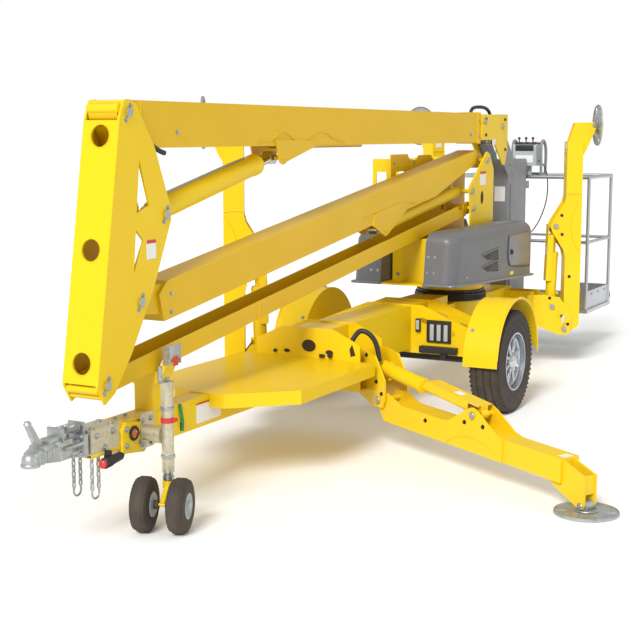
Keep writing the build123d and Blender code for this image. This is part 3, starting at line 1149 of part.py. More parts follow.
def side_rack():
    """Pierced yellow rack on the far side of the turntable, above the far cover."""
    x0, x1, y0, y1 = RACK_FRONT_X, RACK_REAR_X, RACK_IN_Y, RACK_OUT_Y
    low = HOOD_TOP + 6
    t = RACK_T
    span = x1 - x0
    side_points = [(x0, low), (x1, low), (x1, RACK_TOP - 16), (x1 - 0.1 * span, RACK_TOP - 16),
                   (x1 - 0.14 * span, RACK_TOP - 46), (x1 - 0.3 * span, RACK_TOP - 46),
                   (x1 - 0.34 * span, RACK_TOP - 10), (x1 - 0.55 * span, RACK_TOP - 10),
                   (x1 - 0.59 * span, RACK_TOP - 40), (x1 - 0.7 * span, RACK_TOP - 40),
                   (x1 - 0.74 * span, RACK_TOP), (x0, RACK_TOP)]
    rack = plate_xz(side_points, y0, y0 + t)
    for a, b in ((0.08, 0.22), (0.4, 0.55), (0.7, 0.85)):
        rack -= box(x0 + a * span, x0 + b * span, y0 - 1, y0 + t + 1, RACK_TOP - 230, RACK_TOP - 120)
    for x in (x0, x0 + 0.34 * span, x0 + 0.67 * span, x1 - t):
        web = box(x, x + t, y0, y1, low, RACK_TOP - 30)
        web -= box(x - 1, x + t + 1, y0 + 36, y1 - 30, RACK_TOP - 240, RACK_TOP - 120)
        rack += web
    foot_y = MAST_Y + MAST_T
    return rack + box(x1 - 160, x1 - 20, foot_y + 0.3, y0 + 1, 1300, 1380)


def boom_cylinder(base, eye, barrel_r, rod_r, barrel_len, eye_r, eye_w, inward):
    """One of the booms' cylinders as a barrel and a rod."""
    return cylinder_pair((base.x, base.z), (eye.x, eye.z), barrel_r, rod_r, barrel_len,
                         eye_r, eye_r, eye_w, inward)


def all_parts():
    """All pieces by node name, in the working frame."""
    nodes = {
        "chassis_frame": chassis_frame(),
        "outrigger_ears": all_ears(),
        "front_deck": deck_plate(),
        "tongue_beam": tongue_beam(),
        "coupler_sleeve": coupler_sleeve(),
        "coupler_head": coupler_head(),
        "safety_chains": safety_chains(),
        "boom_rest": boom_rest(),
        "rest_pads": rest_pads(),
        "jack_bracket": jack_bracket(),
        "jack_outer_tube": jack_outer(),
        "jack_inner_leg": jack_leg(),
        "jack_fork": jack_fork(),
        "jack_twin_wheels": jack_wheels(),
        "axle_beam": axle_beam(),
        "slew_ring": slew_ring(),
        "turntable": turntable(),
        "side_rack": side_rack(),
        "lower_boom": lower_boom(),
        "tension_link": tension_link(),
        "knuckle": knuckle(),
        "upper_boom": upper_boom(),
        "inner_boom": inner_boom(),
        "boom_tip": boom_tip(),
        "platform_column": platform_column(),
        "platform_basket": platform_basket(),
        "platform_gate": platform_gate(),
        "platform_console": platform_console(),
    }
    for name, side in (("near", -1), ("far", 1)):
        nodes[f"tyre_{name}"] = road_tyre(side)
        nodes[f"rim_{name}"] = road_rim(side)
        nodes[f"mudguard_{name}"] = mudguard(side)
        nodes[f"cover_{name}"] = cover(side)
        nodes[f"power_pack_{name}"] = power_pack(side)
    for outrigger in OUTRIGGERS:
        name = outrigger.name
        nodes[f"outrigger_arm_{name}"] = outrigger_arm(outrigger)
        nodes[f"outrigger_pad_{name}"] = outrigger_pad(outrigger)
        barrel, piston = outrigger_cylinder(outrigger)
        nodes[f"outrigger_barrel_{name}"] = barrel
        nodes[f"outrigger_rod_{name}"] = piston
    pairs = (
        ("upper_lift", UPPER_CYL_BASE, UPPER_CYL_EYE, LIFT_BARREL_R, LIFT_ROD_R, 1030.0, LIFT_EYE_R),
        ("lower_lift", LOWER_CYL_BASE, LOWER_CYL_EYE, LOWER_BARREL_R, LOWER_ROD_R, 1250.0, 30.0),
        ("level", LEVEL_BASE, LEVEL_EYE, LEVEL_BARREL_R, LEVEL_ROD_R, 222.0, 22.0),
    )
    for name, base, eye, barrel_r, rod_r, length, eye_r in pairs:
        eye_w = LEVEL_EYE_W if name == "level" else LIFT_EYE_W
        inward = LEVEL_STROKE if name == "level" else 0.0
        barrel, piston = boom_cylinder(base, eye, barrel_r, rod_r, length, eye_r, eye_w, inward)
        nodes[f"{name}_barrel"] = barrel
        nodes[f"{name}_rod"] = piston
    return nodes


def whole_box(nodes):
    """Lowest and highest corners over all pieces."""
    boxes = [shape.bounding_box() for shape in nodes.values()]
    low = [min(getattr(b.min, axis) for b in boxes) for axis in "XYZ"]
    high = [max(getattr(b.max, axis) for b in boxes) for axis in "XYZ"]
    return low, high


NODES = all_parts()
LOW, HIGH = whole_box(NODES)
SHIFT = (-(LOW[0] + HIGH[0]) / 2, -(LOW[1] + HIGH[1]) / 2, -LOW[2])

if __name__ == "__main__":
    os.makedirs("parts", exist_ok=True)
    for node_name, node_shape in NODES.items():
        export_step(Pos(*SHIFT) * node_shape, f"parts/{node_name}.step")
    print("box", [round(v, 1) for v in LOW], [round(v, 1) for v in HIGH])
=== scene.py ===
"""Towable boom lift: finishes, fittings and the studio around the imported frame.

The machine stands parked, with three outriggers raised and the near front one lowered. Pieces are
worked out in metres in the machine's own frame: the origin is on the ground under the axle, the
tongue points along -X, the platform is at +X and the near side is -Y. The workshop then moves each
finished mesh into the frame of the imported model.
"""

import logging
import math
from dataclasses import dataclass, field
from enum import Enum

import bmesh
import bpy
from mathutils import Matrix, Vector

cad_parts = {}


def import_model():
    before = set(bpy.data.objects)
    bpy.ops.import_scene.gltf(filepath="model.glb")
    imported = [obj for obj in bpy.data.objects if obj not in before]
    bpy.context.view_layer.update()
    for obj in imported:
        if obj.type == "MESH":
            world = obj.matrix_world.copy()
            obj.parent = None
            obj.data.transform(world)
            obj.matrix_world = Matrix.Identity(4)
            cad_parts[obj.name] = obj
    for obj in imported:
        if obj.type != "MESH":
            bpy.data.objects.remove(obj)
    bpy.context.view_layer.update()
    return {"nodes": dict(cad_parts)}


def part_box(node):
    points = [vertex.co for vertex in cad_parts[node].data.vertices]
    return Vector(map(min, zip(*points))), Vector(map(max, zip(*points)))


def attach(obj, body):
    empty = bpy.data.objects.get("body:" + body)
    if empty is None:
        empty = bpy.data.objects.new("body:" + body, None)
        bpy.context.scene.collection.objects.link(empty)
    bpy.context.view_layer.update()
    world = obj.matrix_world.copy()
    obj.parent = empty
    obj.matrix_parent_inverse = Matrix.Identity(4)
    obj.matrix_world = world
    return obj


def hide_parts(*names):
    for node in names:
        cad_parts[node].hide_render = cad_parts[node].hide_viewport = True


LOG = logging.getLogger("boom_lift")
Point = tuple[float, float, float]
Flat = tuple[float, float]
Spot = tuple[Point, Point, float]
NEAR, FAR = -1, 1
SIDES = (("near", NEAR), ("far", FAR))


class Surface(Enum):
    """How a finish was made, which sets the pattern that its material gets."""

    PAINT = "sprayed paint"
    MOULDED = "moulded plastic"
    METAL = "bare or plated metal"
    RUBBER = "vulcanised rubber"
    VINYL = "printed film"


@dataclass(frozen=True)
class Finish:
    """One real finish: its colours as sRGB hex, its gloss and the real sizes of its pattern."""

    name: str
    surface: Surface
    colour: str
    second: str
    roughness: float
    slot: str
    metallic: float = 0.0
    grain_mm: float = 6.0
    relief_mm: float = 0.05
    patch_mm: float = 350.0
    coat: float = 0.0
    dust: float = 0.0
    gloss: float = 0.5


def linear(hex_colour: str) -> tuple[float, float, float, float]:
    """Turns an sRGB hex colour into linear RGBA.

    Args:
        hex_colour: colour such as "#E8B90F".

    Returns:
        The four linear values, alpha 1.
    """
    values = [int(hex_colour[i:i + 2], 16) / 255 for i in (1, 3, 5)]
    red, green, blue = [v / 12.92 if v <= 0.04045 else ((v + 0.055) / 1.055) ** 2.4 for v in values]
    return (red, green, blue, 1.0)


def add_node(tree: bpy.types.NodeTree, kind: str, values: dict | None = None,
             links: dict | None = None, **settings) -> bpy.types.Node:
    """Adds one node with its settings, values and links.

    Args:
        tree: tree that gets the node.
        kind: Blender's name of the node type.
        values: socket name or number to value.
        links: socket name or number to the output that feeds it.
        settings: the node's own properties.

    Returns:
        The new node.
    """
    made = tree.nodes.new(kind)
    for key, value in settings.items():
        setattr(made, key, value)
    for key, value in (values or {}).items():
        made.inputs[key].default_value = value
    for key, source in (links or {}).items():
        tree.links.new(source, made.inputs[key])
    return made


# Two-part polyurethane enamel over welded steel: bright, a little orange peel, road dust low down
YELLOW = Finish("yellow_enamel", Surface.PAINT, "#E9C60C", "#E1BC0A", 0.36, "yellow_paint",
                grain_mm=9, relief_mm=0.06, gloss=0.32, dust=0.10)
# The same enamel on the moving box sections, darker as painted shade of their shaded sides
SHADED_YELLOW = Finish("yellow_enamel_painted_shade", Surface.PAINT, "#DDB40A", "#D3A909", 0.38, "yellow_paint",
               grain_mm=9, relief_mm=0.06, gloss=0.30, dust=0.03)
# Sprayed grey enamel on the platform column
GREY = Finish("grey_enamel", Surface.PAINT, "#85878A", "#77797D", 0.42, "grey_paint",
              grain_mm=7, relief_mm=0.08, coat=0.1)
# Cast and machined steel, blackened and oily
DARK = Finish("oiled_black_steel", Surface.METAL, "#2C2B2B", "#3B3834", 0.42, "dark_steel",
              metallic=0.6, grain_mm=5, relief_mm=0.15)
# Satin black enamel on brackets and fittings
BLACK = Finish("satin_black_enamel", Surface.PAINT, "#1B1B1C", "#26262A", 0.40, "dark_steel",
               grain_mm=6, relief_mm=0.08)
# Zinc plating: pale, faintly spangled
ZINC = Finish("zinc_plate", Surface.METAL, "#B9BDBD", "#9EA3A2", 0.36, "zinc",
              metallic=0.85, grain_mm=14, relief_mm=0.06)
# Passivated zinc, straw coloured
STRAW = Finish("straw_passivated_zinc", Surface.METAL, "#D3CDB6", "#BDB69C", 0.40, "zinc",
               metallic=0.7, grain_mm=12, relief_mm=0.06)
# Hot-dip galvanised sheet, larger spangle
GALVANISED = Finish("hot_dip_galvanised_sheet", Surface.METAL, "#C2C5C4", "#A3A8A8", 0.38, "zinc",
                    metallic=0.75, grain_mm=24, relief_mm=0.10)
# Hard chrome on ground steel
CHROME = Finish("hard_chrome_rod", Surface.METAL, "#D5D7DA", "#C6C8CC", 0.12, "rod_chrome",
                metallic=1.0, grain_mm=3, relief_mm=0.01)
# Aluminium tube with a brushed, anodised skin
TUBE = Finish("anodised_aluminium_tube", Surface.METAL, "#C6C8CB", "#B3B6BA", 0.30, "silver_tube",
              metallic=0.8, grain_mm=4, relief_mm=0.03)
# Cast aluminium wheel
RIM = Finish("cast_aluminium_rim", Surface.METAL, "#CDD1D6", "#AEB3B9", 0.30, "silver_tube",
             metallic=0.8, grain_mm=5, relief_mm=0.05)
# Tyre rubber, dusty on its tread
RUBBER = Finish("tyre_rubber", Surface.RUBBER, "#262120", "#352E2A", 0.78, "tyre_rubber",
                grain_mm=4, relief_mm=0.25, patch_mm=120, dust=0.25)
# Rotation-moulded polyethylene, fine pebble texture
HOOD = Finish("grained_grey_polyethylene", Surface.MOULDED, "#65676C", "#5B5D62", 0.44,
              "cover_plastic", grain_mm=3, relief_mm=0.12, coat=0.12)
# The same plastic, polished where the lid is handled
LID = Finish("polished_grey_polyethylene", Surface.MOULDED, "#75777B", "#6B6D72", 0.34,
             "cover_plastic", grain_mm=3, relief_mm=0.07, coat=0.2)
# Light grey ABS of the control box
ABS = Finish("pale_grey_abs", Surface.MOULDED, "#A9B1B4", "#9EA6AA", 0.40, "box_plastic",
             grain_mm=2, relief_mm=0.05)
# Black nylon: latches, grommets, the plug and the jackets of hoses
NYLON = Finish("black_nylon", Surface.MOULDED, "#17171A", "#232326", 0.52, "box_plastic",
               grain_mm=2, relief_mm=0.06)
# White polyamide wear pads
PAD = Finish("white_polyamide", Surface.MOULDED, "#E3E2DC", "#D2D0C8", 0.45, "white_plastic",
             grain_mm=4, relief_mm=0.05)
# Matt white film, blank
FILM = Finish("blank_white_film", Surface.VINYL, "#E8E8E4", "#D9DAD8", 0.40, "white_plastic")
# Red film stripe
RED_FILM = Finish("red_film", Surface.VINYL, "#C8372C", "#B82F26", 0.38, "white_plastic")
# Bright yellow film on the covers
YELLOW_FILM = Finish("yellow_film", Surface.VINYL, "#E6D21E", "#D9C41A", 0.38, "white_plastic")
# Green nylon of the tip's tag and the tongue's sleeve
GREEN = Finish("green_nylon", Surface.MOULDED, "#1F8A4B", "#1B7A43", 0.55, "box_plastic",
               grain_mm=2)
# Amber marker lens
AMBER_LENS = Finish("amber_acrylic_lens", Surface.MOULDED, "#C4521A", "#B34715", 0.16,
                    "box_plastic", coat=0.6)
# Red tail lens
RED_LENS = Finish("red_acrylic_lens", Surface.MOULDED, "#A8281F", "#96231B", 0.16,
                  "box_plastic", coat=0.6)
# Shadowed inside of a cut opening
HOLLOW = Finish("shadowed_opening", Surface.PAINT, "#3A2A0C", "#2C200A", 0.8, "dark_steel")
# Battery cases and pump housing under the covers
PACK = Finish("battery_case", Surface.MOULDED, "#2E3135", "#27292D", 0.5, "pack_block", grain_mm=3)


def smooth_curve(name: str, points: list[Point], radius: float, roundness: int, order: int,
                 detail: int) -> bpy.types.Curve:
    """Makes a round bar as a smooth curve.

    Args:
        name: name of the curve.
        points: control points of its path.
        radius: half its thickness, or 0 for the bare line.
        roundness: bevel steps of its section.
        order: 2 keeps straight runs, 3 rounds the corners.
        detail: steps on each span.

    Returns:
        The curve.
    """
    curve = bpy.data.curves.new(name, "CURVE")
    curve.dimensions = "3D"
    curve.bevel_depth = radius
    curve.bevel_resolution = roundness
    curve.use_fill_caps = True
    spline = curve.splines.new("NURBS")
    spline.points.add(len(points) - 1)
    for target, point in zip(spline.points, points):
        target.co = (*point, 1.0)
    spline.order_u = order
    spline.use_endpoint_u = True
    spline.resolution_u = detail
    return curve


def curve_mesh(curve: bpy.types.Curve) -> bpy.types.Mesh:
    """Turns a curve into a mesh, removes the curve and returns the mesh."""
    holder = bpy.data.objects.new("path", curve)
    mesh = bpy.data.meshes.new_from_object(holder)
    bpy.data.objects.remove(holder)
    bpy.data.curves.remove(curve)
    return mesh


@dataclass
class Shape:
    """A mesh in the making, in metres in the machine's own frame."""

    bm: bmesh.types.BMesh = field(default_factory=bmesh.new)

    def block(self, x: Flat, y: Flat, z: Flat, bevel: float = 0.0) -> "Shape":
        """Adds a box with softened edges.

        Args:
            x: its two ends along X, and y and z likewise.
            y: ends along Y.
            z: ends along Z.
            bevel: width of the softened edge.

        Returns:
            This shape.
        """
        middle = Vector([(a + b) / 2 for a, b in (x, y, z)])
        size = Matrix.Diagonal([abs(b - a) for a, b in (x, y, z)] + [1.0])
        made = bmesh.ops.create_cube(self.bm, size=1.0, matrix=Matrix.Translation(middle) @ size)
        self._soften(made["verts"], bevel)
        return self

    def plate(self, outline: list[Flat], y: Flat, bevel: float = 0.0) -> "Shape":
        """Adds a plate whose outline lies in the X-Z plane.

        Args:
            outline: its corners as (x, z).
            y: its two faces along Y.
            bevel: width of the softened edge.

        Returns:
            This shape.
        """
        rings = [[self.bm.verts.new((px, side, pz)) for px, pz in outline] for side in y]
        self.bm.faces.new(rings[0])
        self.bm.faces.new(rings[1][::-1])
        count = len(outline)
        for n in range(count):
            m = (n + 1) % count
            self.bm.faces.new((rings[0][m], rings[0][n], rings[1][n], rings[1][m]))
        self._soften(rings[0] + rings[1], bevel)
        return self

    def lathe(self, profile: list[Flat], start: Point, axis: Point, sides: int = 32,
              ring: bool = False) -> "Shape":
        """Adds a turned body.

        Args:
            profile: pairs of distance along the axis and radius, from one end to the other.
            start: point that the distances are measured from.
            axis: direction of the axis.
            sides: corners in one turn.
            ring: joins the profile's last point to its first, instead of closing both ends.

        Returns:
            This shape.
        """
        turn = Vector(axis).to_track_quat("Z", "Y").to_matrix().to_4x4()
        place = Matrix.Translation(Vector(start)) @ turn
        rings = []
        for along, radius in profile:
            count = 1 if radius < 1e-6 else sides
            corners = [(radius * math.cos(2 * math.pi * n / sides),
                        radius * math.sin(2 * math.pi * n / sides), along) for n in range(count)]
            rings.append([self.bm.verts.new(place @ Vector(corner)) for corner in corners])
        for low, high in zip(rings, rings[1:] + (rings[:1] if ring else [])):
            for n in range(sides):
                m = (n + 1) % sides
                corners = [low[n % len(low)], low[m % len(low)], high[m % len(high)],
                           high[n % len(high)]]
                unique = list(dict.fromkeys(corners))
                if len(unique) > 2:
                    self.bm.faces.new(unique)
        for end in (rings[0], rings[-1]):
            if len(end) > 2 and not ring:
                self.bm.faces.new(end)
        return self

    def loft(self, rings: list[list[Point]]) -> "Shape":
        """Adds a skin over rings of equally many corners, its ends closed; returns the shape."""
        made = [[self.bm.verts.new(corner) for corner in ring] for ring in rings]
        for low, high in zip(made, made[1:]):
            for n in range(len(low)):
                m = (n + 1) % len(low)
                self.bm.faces.new((low[n], low[m], high[m], high[n]))
        self.bm.faces.new(made[0])
        self.bm.faces.new(made[-1])
        return self

    def bar(self, start: Point, end: Point, radius: float, sides: int = 16,
            edge: float = 0.0) -> "Shape":
        """Adds a round bar between two points, its ends chamfered by edge; returns the shape."""
        run = Vector(end) - Vector(start)
        length = run.length
        profile = [(0.0, radius - edge), (edge, radius), (length - edge, radius),
                   (length, radius - edge)] if edge else [(0.0, radius), (length, radius)]
        return self.lathe(profile, start, tuple(run), sides)

    def tube(self, points: list[Point], radius: float, order: int = 3, detail: int = 6) -> "Shape":
        """Adds a round bar bent along a smooth path.

        Args:
            points: control points of the path.
            radius: half its thickness.
            order: 2 keeps straight runs, 3 rounds the corners.
            detail: steps on each span.

        Returns:
            This shape.
        """
        mesh = curve_mesh(smooth_curve("path", points, radius, 2, order, detail))
        self.bm.from_mesh(mesh)
        bpy.data.meshes.remove(mesh)
        return self

    def face(self, corners: list[Point]) -> "Shape":
        """Adds one flat face, and returns the shape."""
        self.bm.faces.new([self.bm.verts.new(corner) for corner in corners])
        return self

    def pins(self, points: tuple[Flat, ...], low: float, high: float, radius: float,
             sides: int = 24) -> "Shape":
        """Adds chamfered pin ends on both sides of the middle plane.

        Args:
            points: the pins as (x, z).
            low: distance along Y where an end begins.
            high: distance along Y where it stops.
            radius: half its thickness.
            sides: corners in one turn.

        Returns:
            This shape.
        """
        for side in (NEAR, FAR):
            for x, z in points:
                self.bar((x, side * low, z), (x, side * high, z), radius, sides, 0.002)
        return self

    def beads(self, points: tuple[Flat, ...], y: float, radius: float, order: int = 3) -> "Shape":
        """Runs a bead along (x, z) points on both sides, y from the middle; returns the shape."""
        for side in (NEAR, FAR):
            self.tube([(x, side * y, z) for x, z in points], radius, order)
        return self

    def merge(self, mesh: bpy.types.Mesh, place: Matrix) -> "Shape":
        """Adds a finished mesh at a place, and returns the shape."""
        mesh.transform(place)
        self.bm.from_mesh(mesh)
        bpy.data.meshes.remove(mesh)
        return self

    def moved(self, place: Matrix) -> "Shape":
        """Moves all that was added so far, and returns the shape."""
        bmesh.ops.transform(self.bm, matrix=place, verts=self.bm.verts)
        return self

    def mesh(self, name: str, smooth_degrees: float = 38.0) -> bpy.types.Mesh:
        """Closes the shape into a mesh with outward faces and smooth round surfaces.

        Args:
            name: name of the mesh.
            smooth_degrees: edges sharper than this stay crisp.

        Returns:
            The mesh.
        """
        bmesh.ops.remove_doubles(self.bm, verts=self.bm.verts, dist=1e-6)
        bmesh.ops.recalc_face_normals(self.bm, faces=self.bm.faces)
        made = bpy.data.meshes.new(name)
        self.bm.to_mesh(made)
        self.bm.free()
        made.polygons.foreach_set("use_smooth", [True] * len(made.polygons))
        made.set_sharp_from_angle(angle=math.radians(smooth_degrees))
        return made

    def _soften(self, verts: list, bevel: float) -> None:
        """Bevels the edges that join the given corners."""
        if bevel > 0:
            chosen = set(verts)
            edges = [e for e in self.bm.edges if e.verts[0] in chosen and e.verts[1] in chosen]
            bmesh.ops.bevel(self.bm, geom=edges, offset=bevel, segments=2, profile=0.6,
                            affect="EDGES", clamp_overlap=True)


class Repeats:
    """Geometry Nodes trees for what repeats on the machine."""

    def __init__(self) -> None:
        """Builds the three trees once."""
        self.bolt_tree = self._bolts()
        self.ring_tree = self._ring()
        self.grid_tree = self._grid()

    @staticmethod
    def _start(name: str, inputs: dict[str, str]) -> tuple[bpy.types.NodeTree, bpy.types.Node]:
        """Makes a tree with named inputs.

        Args:
            name: name of the tree.
            inputs: input name to socket type.

        Returns:
            The tree and its input node.
        """
        tree = bpy.data.node_groups.new(name, "GeometryNodeTree")
        tree.interface.new_socket("Geometry", in_out="INPUT", socket_type="NodeSocketGeometry")
        for label, kind in inputs.items():
            tree.interface.new_socket(label, in_out="INPUT", socket_type=f"NodeSocket{kind}")
        tree.interface.new_socket("Geometry", in_out="OUTPUT", socket_type="NodeSocketGeometry")
        return tree, add_node(tree, "NodeGroupInput")

    @staticmethod
    def _end(tree: bpy.types.NodeTree, source: bpy.types.NodeSocket,
             material: bpy.types.NodeSocket) -> bpy.types.NodeTree:
        """Ends a tree in Realize Instances and Set Material, and returns it."""
        real = add_node(tree, "GeometryNodeRealizeInstances", links={"Geometry": source})
        painted = add_node(tree, "GeometryNodeSetMaterial",
                           links={"Geometry": real.outputs[0], "Material": material})
        add_node(tree, "NodeGroupOutput", links={"Geometry": painted.outputs[0]})
        return tree

    def _bolts(self) -> bpy.types.NodeTree:
        """Hexagon heads on washers, one on each point, along the point's axis; returns the tree."""
        tree, given = self._start("bolt_heads", {"Head Height": "Float", "Washer": "Float",
                                                 "Material": "Material"})
        head = add_node(tree, "GeometryNodeMeshCylinder", {"Vertices": 6, "Radius": 1.0},
                        {"Depth": given.outputs["Head Height"]})
        lift = add_node(tree, "ShaderNodeMath", {1: 0.5}, {0: given.outputs["Head Height"]},
                        operation="MULTIPLY")
        rise = add_node(tree, "ShaderNodeCombineXYZ", links={"Z": lift.outputs[0]})
        raised = add_node(tree, "GeometryNodeTransform",
                          links={"Geometry": head.outputs["Mesh"], "Translation": rise.outputs[0]})
        washer = add_node(tree, "GeometryNodeMeshCylinder", {"Vertices": 14, "Depth": 0.36},
                          {"Radius": given.outputs["Washer"]})
        both = add_node(tree, "GeometryNodeJoinGeometry", links={"Geometry": raised.outputs[0]})
        tree.links.new(washer.outputs["Mesh"], both.inputs["Geometry"])
        axis = add_node(tree, "GeometryNodeInputNamedAttribute", {"Name": "axis"},
                        data_type="FLOAT_VECTOR")
        size = add_node(tree, "GeometryNodeInputNamedAttribute", {"Name": "size"},
                        data_type="FLOAT")
        turn = add_node(tree, "FunctionNodeAlignRotationToVector",
                        links={"Vector": self._live(axis)}, axis="Z")
        points = add_node(tree, "GeometryNodeMeshToPoints",
                          links={"Mesh": given.outputs["Geometry"]})
        heads = add_node(tree, "GeometryNodeInstanceOnPoints",
                         links={"Points": points.outputs[0], "Instance": both.outputs[0],
                                "Rotation": turn.outputs[0], "Scale": self._live(size)})
        return self._end(tree, heads.outputs[0], given.outputs["Material"])

    @staticmethod
    def _live(made: bpy.types.Node) -> bpy.types.NodeSocket:
        """Returns the output of a named attribute that is in use."""
        return next(o for o in made.outputs if o.enabled and o.name == "Attribute")

    def _ring(self) -> bpy.types.NodeTree:
        """Blocks spaced round the Z axis, each turned outward and slanted; returns the tree."""
        tree, given = self._start("ring_of_blocks", {
            "Count": "Int", "Radius": "Float", "Block": "Vector", "Slant": "Float",
            "Start": "Float", "Height": "Float", "Material": "Material"})
        circle = add_node(tree, "GeometryNodeMeshCircle", links={
            "Vertices": given.outputs["Count"], "Radius": given.outputs["Radius"]})
        cube = add_node(tree, "GeometryNodeMeshCube", links={"Size": given.outputs["Block"]})
        index = add_node(tree, "GeometryNodeInputIndex")
        step = add_node(tree, "ShaderNodeMath", {0: 2 * math.pi}, {1: given.outputs["Count"]},
                        operation="DIVIDE")
        angle = add_node(tree, "ShaderNodeMath", links={0: index.outputs[0], 1: step.outputs[0]},
                         operation="MULTIPLY")
        turn = add_node(tree, "ShaderNodeCombineXYZ",
                        links={"X": given.outputs["Slant"], "Z": angle.outputs[0]})
        blocks = add_node(tree, "GeometryNodeInstanceOnPoints",
                          links={"Points": circle.outputs[0], "Instance": cube.outputs["Mesh"],
                                 "Rotation": turn.outputs[0]})
        rise = add_node(tree, "ShaderNodeCombineXYZ", links={"Z": given.outputs["Height"]})
        start = add_node(tree, "ShaderNodeCombineXYZ", links={"Z": given.outputs["Start"]})
        placed = add_node(tree, "GeometryNodeTransform",
                          links={"Geometry": blocks.outputs[0], "Translation": rise.outputs[0],
                                 "Rotation": start.outputs[0]})
        return self._end(tree, placed.outputs[0], given.outputs["Material"])

    def _grid(self) -> bpy.types.NodeTree:
        """Raised bars in a chequer pattern on a flat floor; returns the tree."""
        tree, given = self._start("chequer_bars", {
            "Size X": "Float", "Size Y": "Float", "Count X": "Int", "Count Y": "Int",
            "Bar": "Vector", "Material": "Material"})
        grid = add_node(tree, "GeometryNodeMeshGrid", links={
            "Size X": given.outputs["Size X"], "Size Y": given.outputs["Size Y"],
            "Vertices X": given.outputs["Count X"], "Vertices Y": given.outputs["Count Y"]})
        cube = add_node(tree, "GeometryNodeMeshCube", links={"Size": given.outputs["Bar"]})
        index = add_node(tree, "GeometryNodeInputIndex")
        odd = add_node(tree, "ShaderNodeMath", {1: 2.0}, {0: index.outputs[0]}, operation="MODULO")
        angle = add_node(tree, "ShaderNodeMath", {1: math.pi / 2, 2: math.pi / 4},
                         {0: odd.outputs[0]}, operation="MULTIPLY_ADD")
        turn = add_node(tree, "ShaderNodeCombineXYZ", links={"Z": angle.outputs[0]})
        bars = add_node(tree, "GeometryNodeInstanceOnPoints",
                        links={"Points": grid.outputs["Mesh"], "Instance": cube.outputs["Mesh"],
                               "Rotation": turn.outputs[0]})
        return self._end(tree, bars.outputs[0], given.outputs["Material"])

    @staticmethod
    def run(tree: bpy.types.NodeTree, base: bpy.types.Mesh, values: dict) -> bpy.types.Mesh:
        """Runs a tree on a mesh and keeps the result as a plain mesh.

        Args:
            tree: one of the trees of this class.
            base: mesh that the tree starts from.
            values: input name to value.

        Returns:
            The realised mesh.
        """
        holder = bpy.data.objects.new("repeat", base)
        bpy.context.scene.collection.objects.link(holder)
        modifier = holder.modifiers.new("repeat", "NODES")
        modifier.node_group = tree
        names = {item.name: item.identifier for item in tree.interface.items_tree
                 if item.in_out == "INPUT"}
        for name, value in values.items():
            modifier[names[name]] = value
        graph = bpy.context.evaluated_depsgraph_get()
        made = bpy.data.meshes.new_from_object(holder.evaluated_get(graph))
        holder.modifiers.remove(modifier)
        bpy.data.objects.remove(holder)
        bpy.data.meshes.remove(base)
        return made


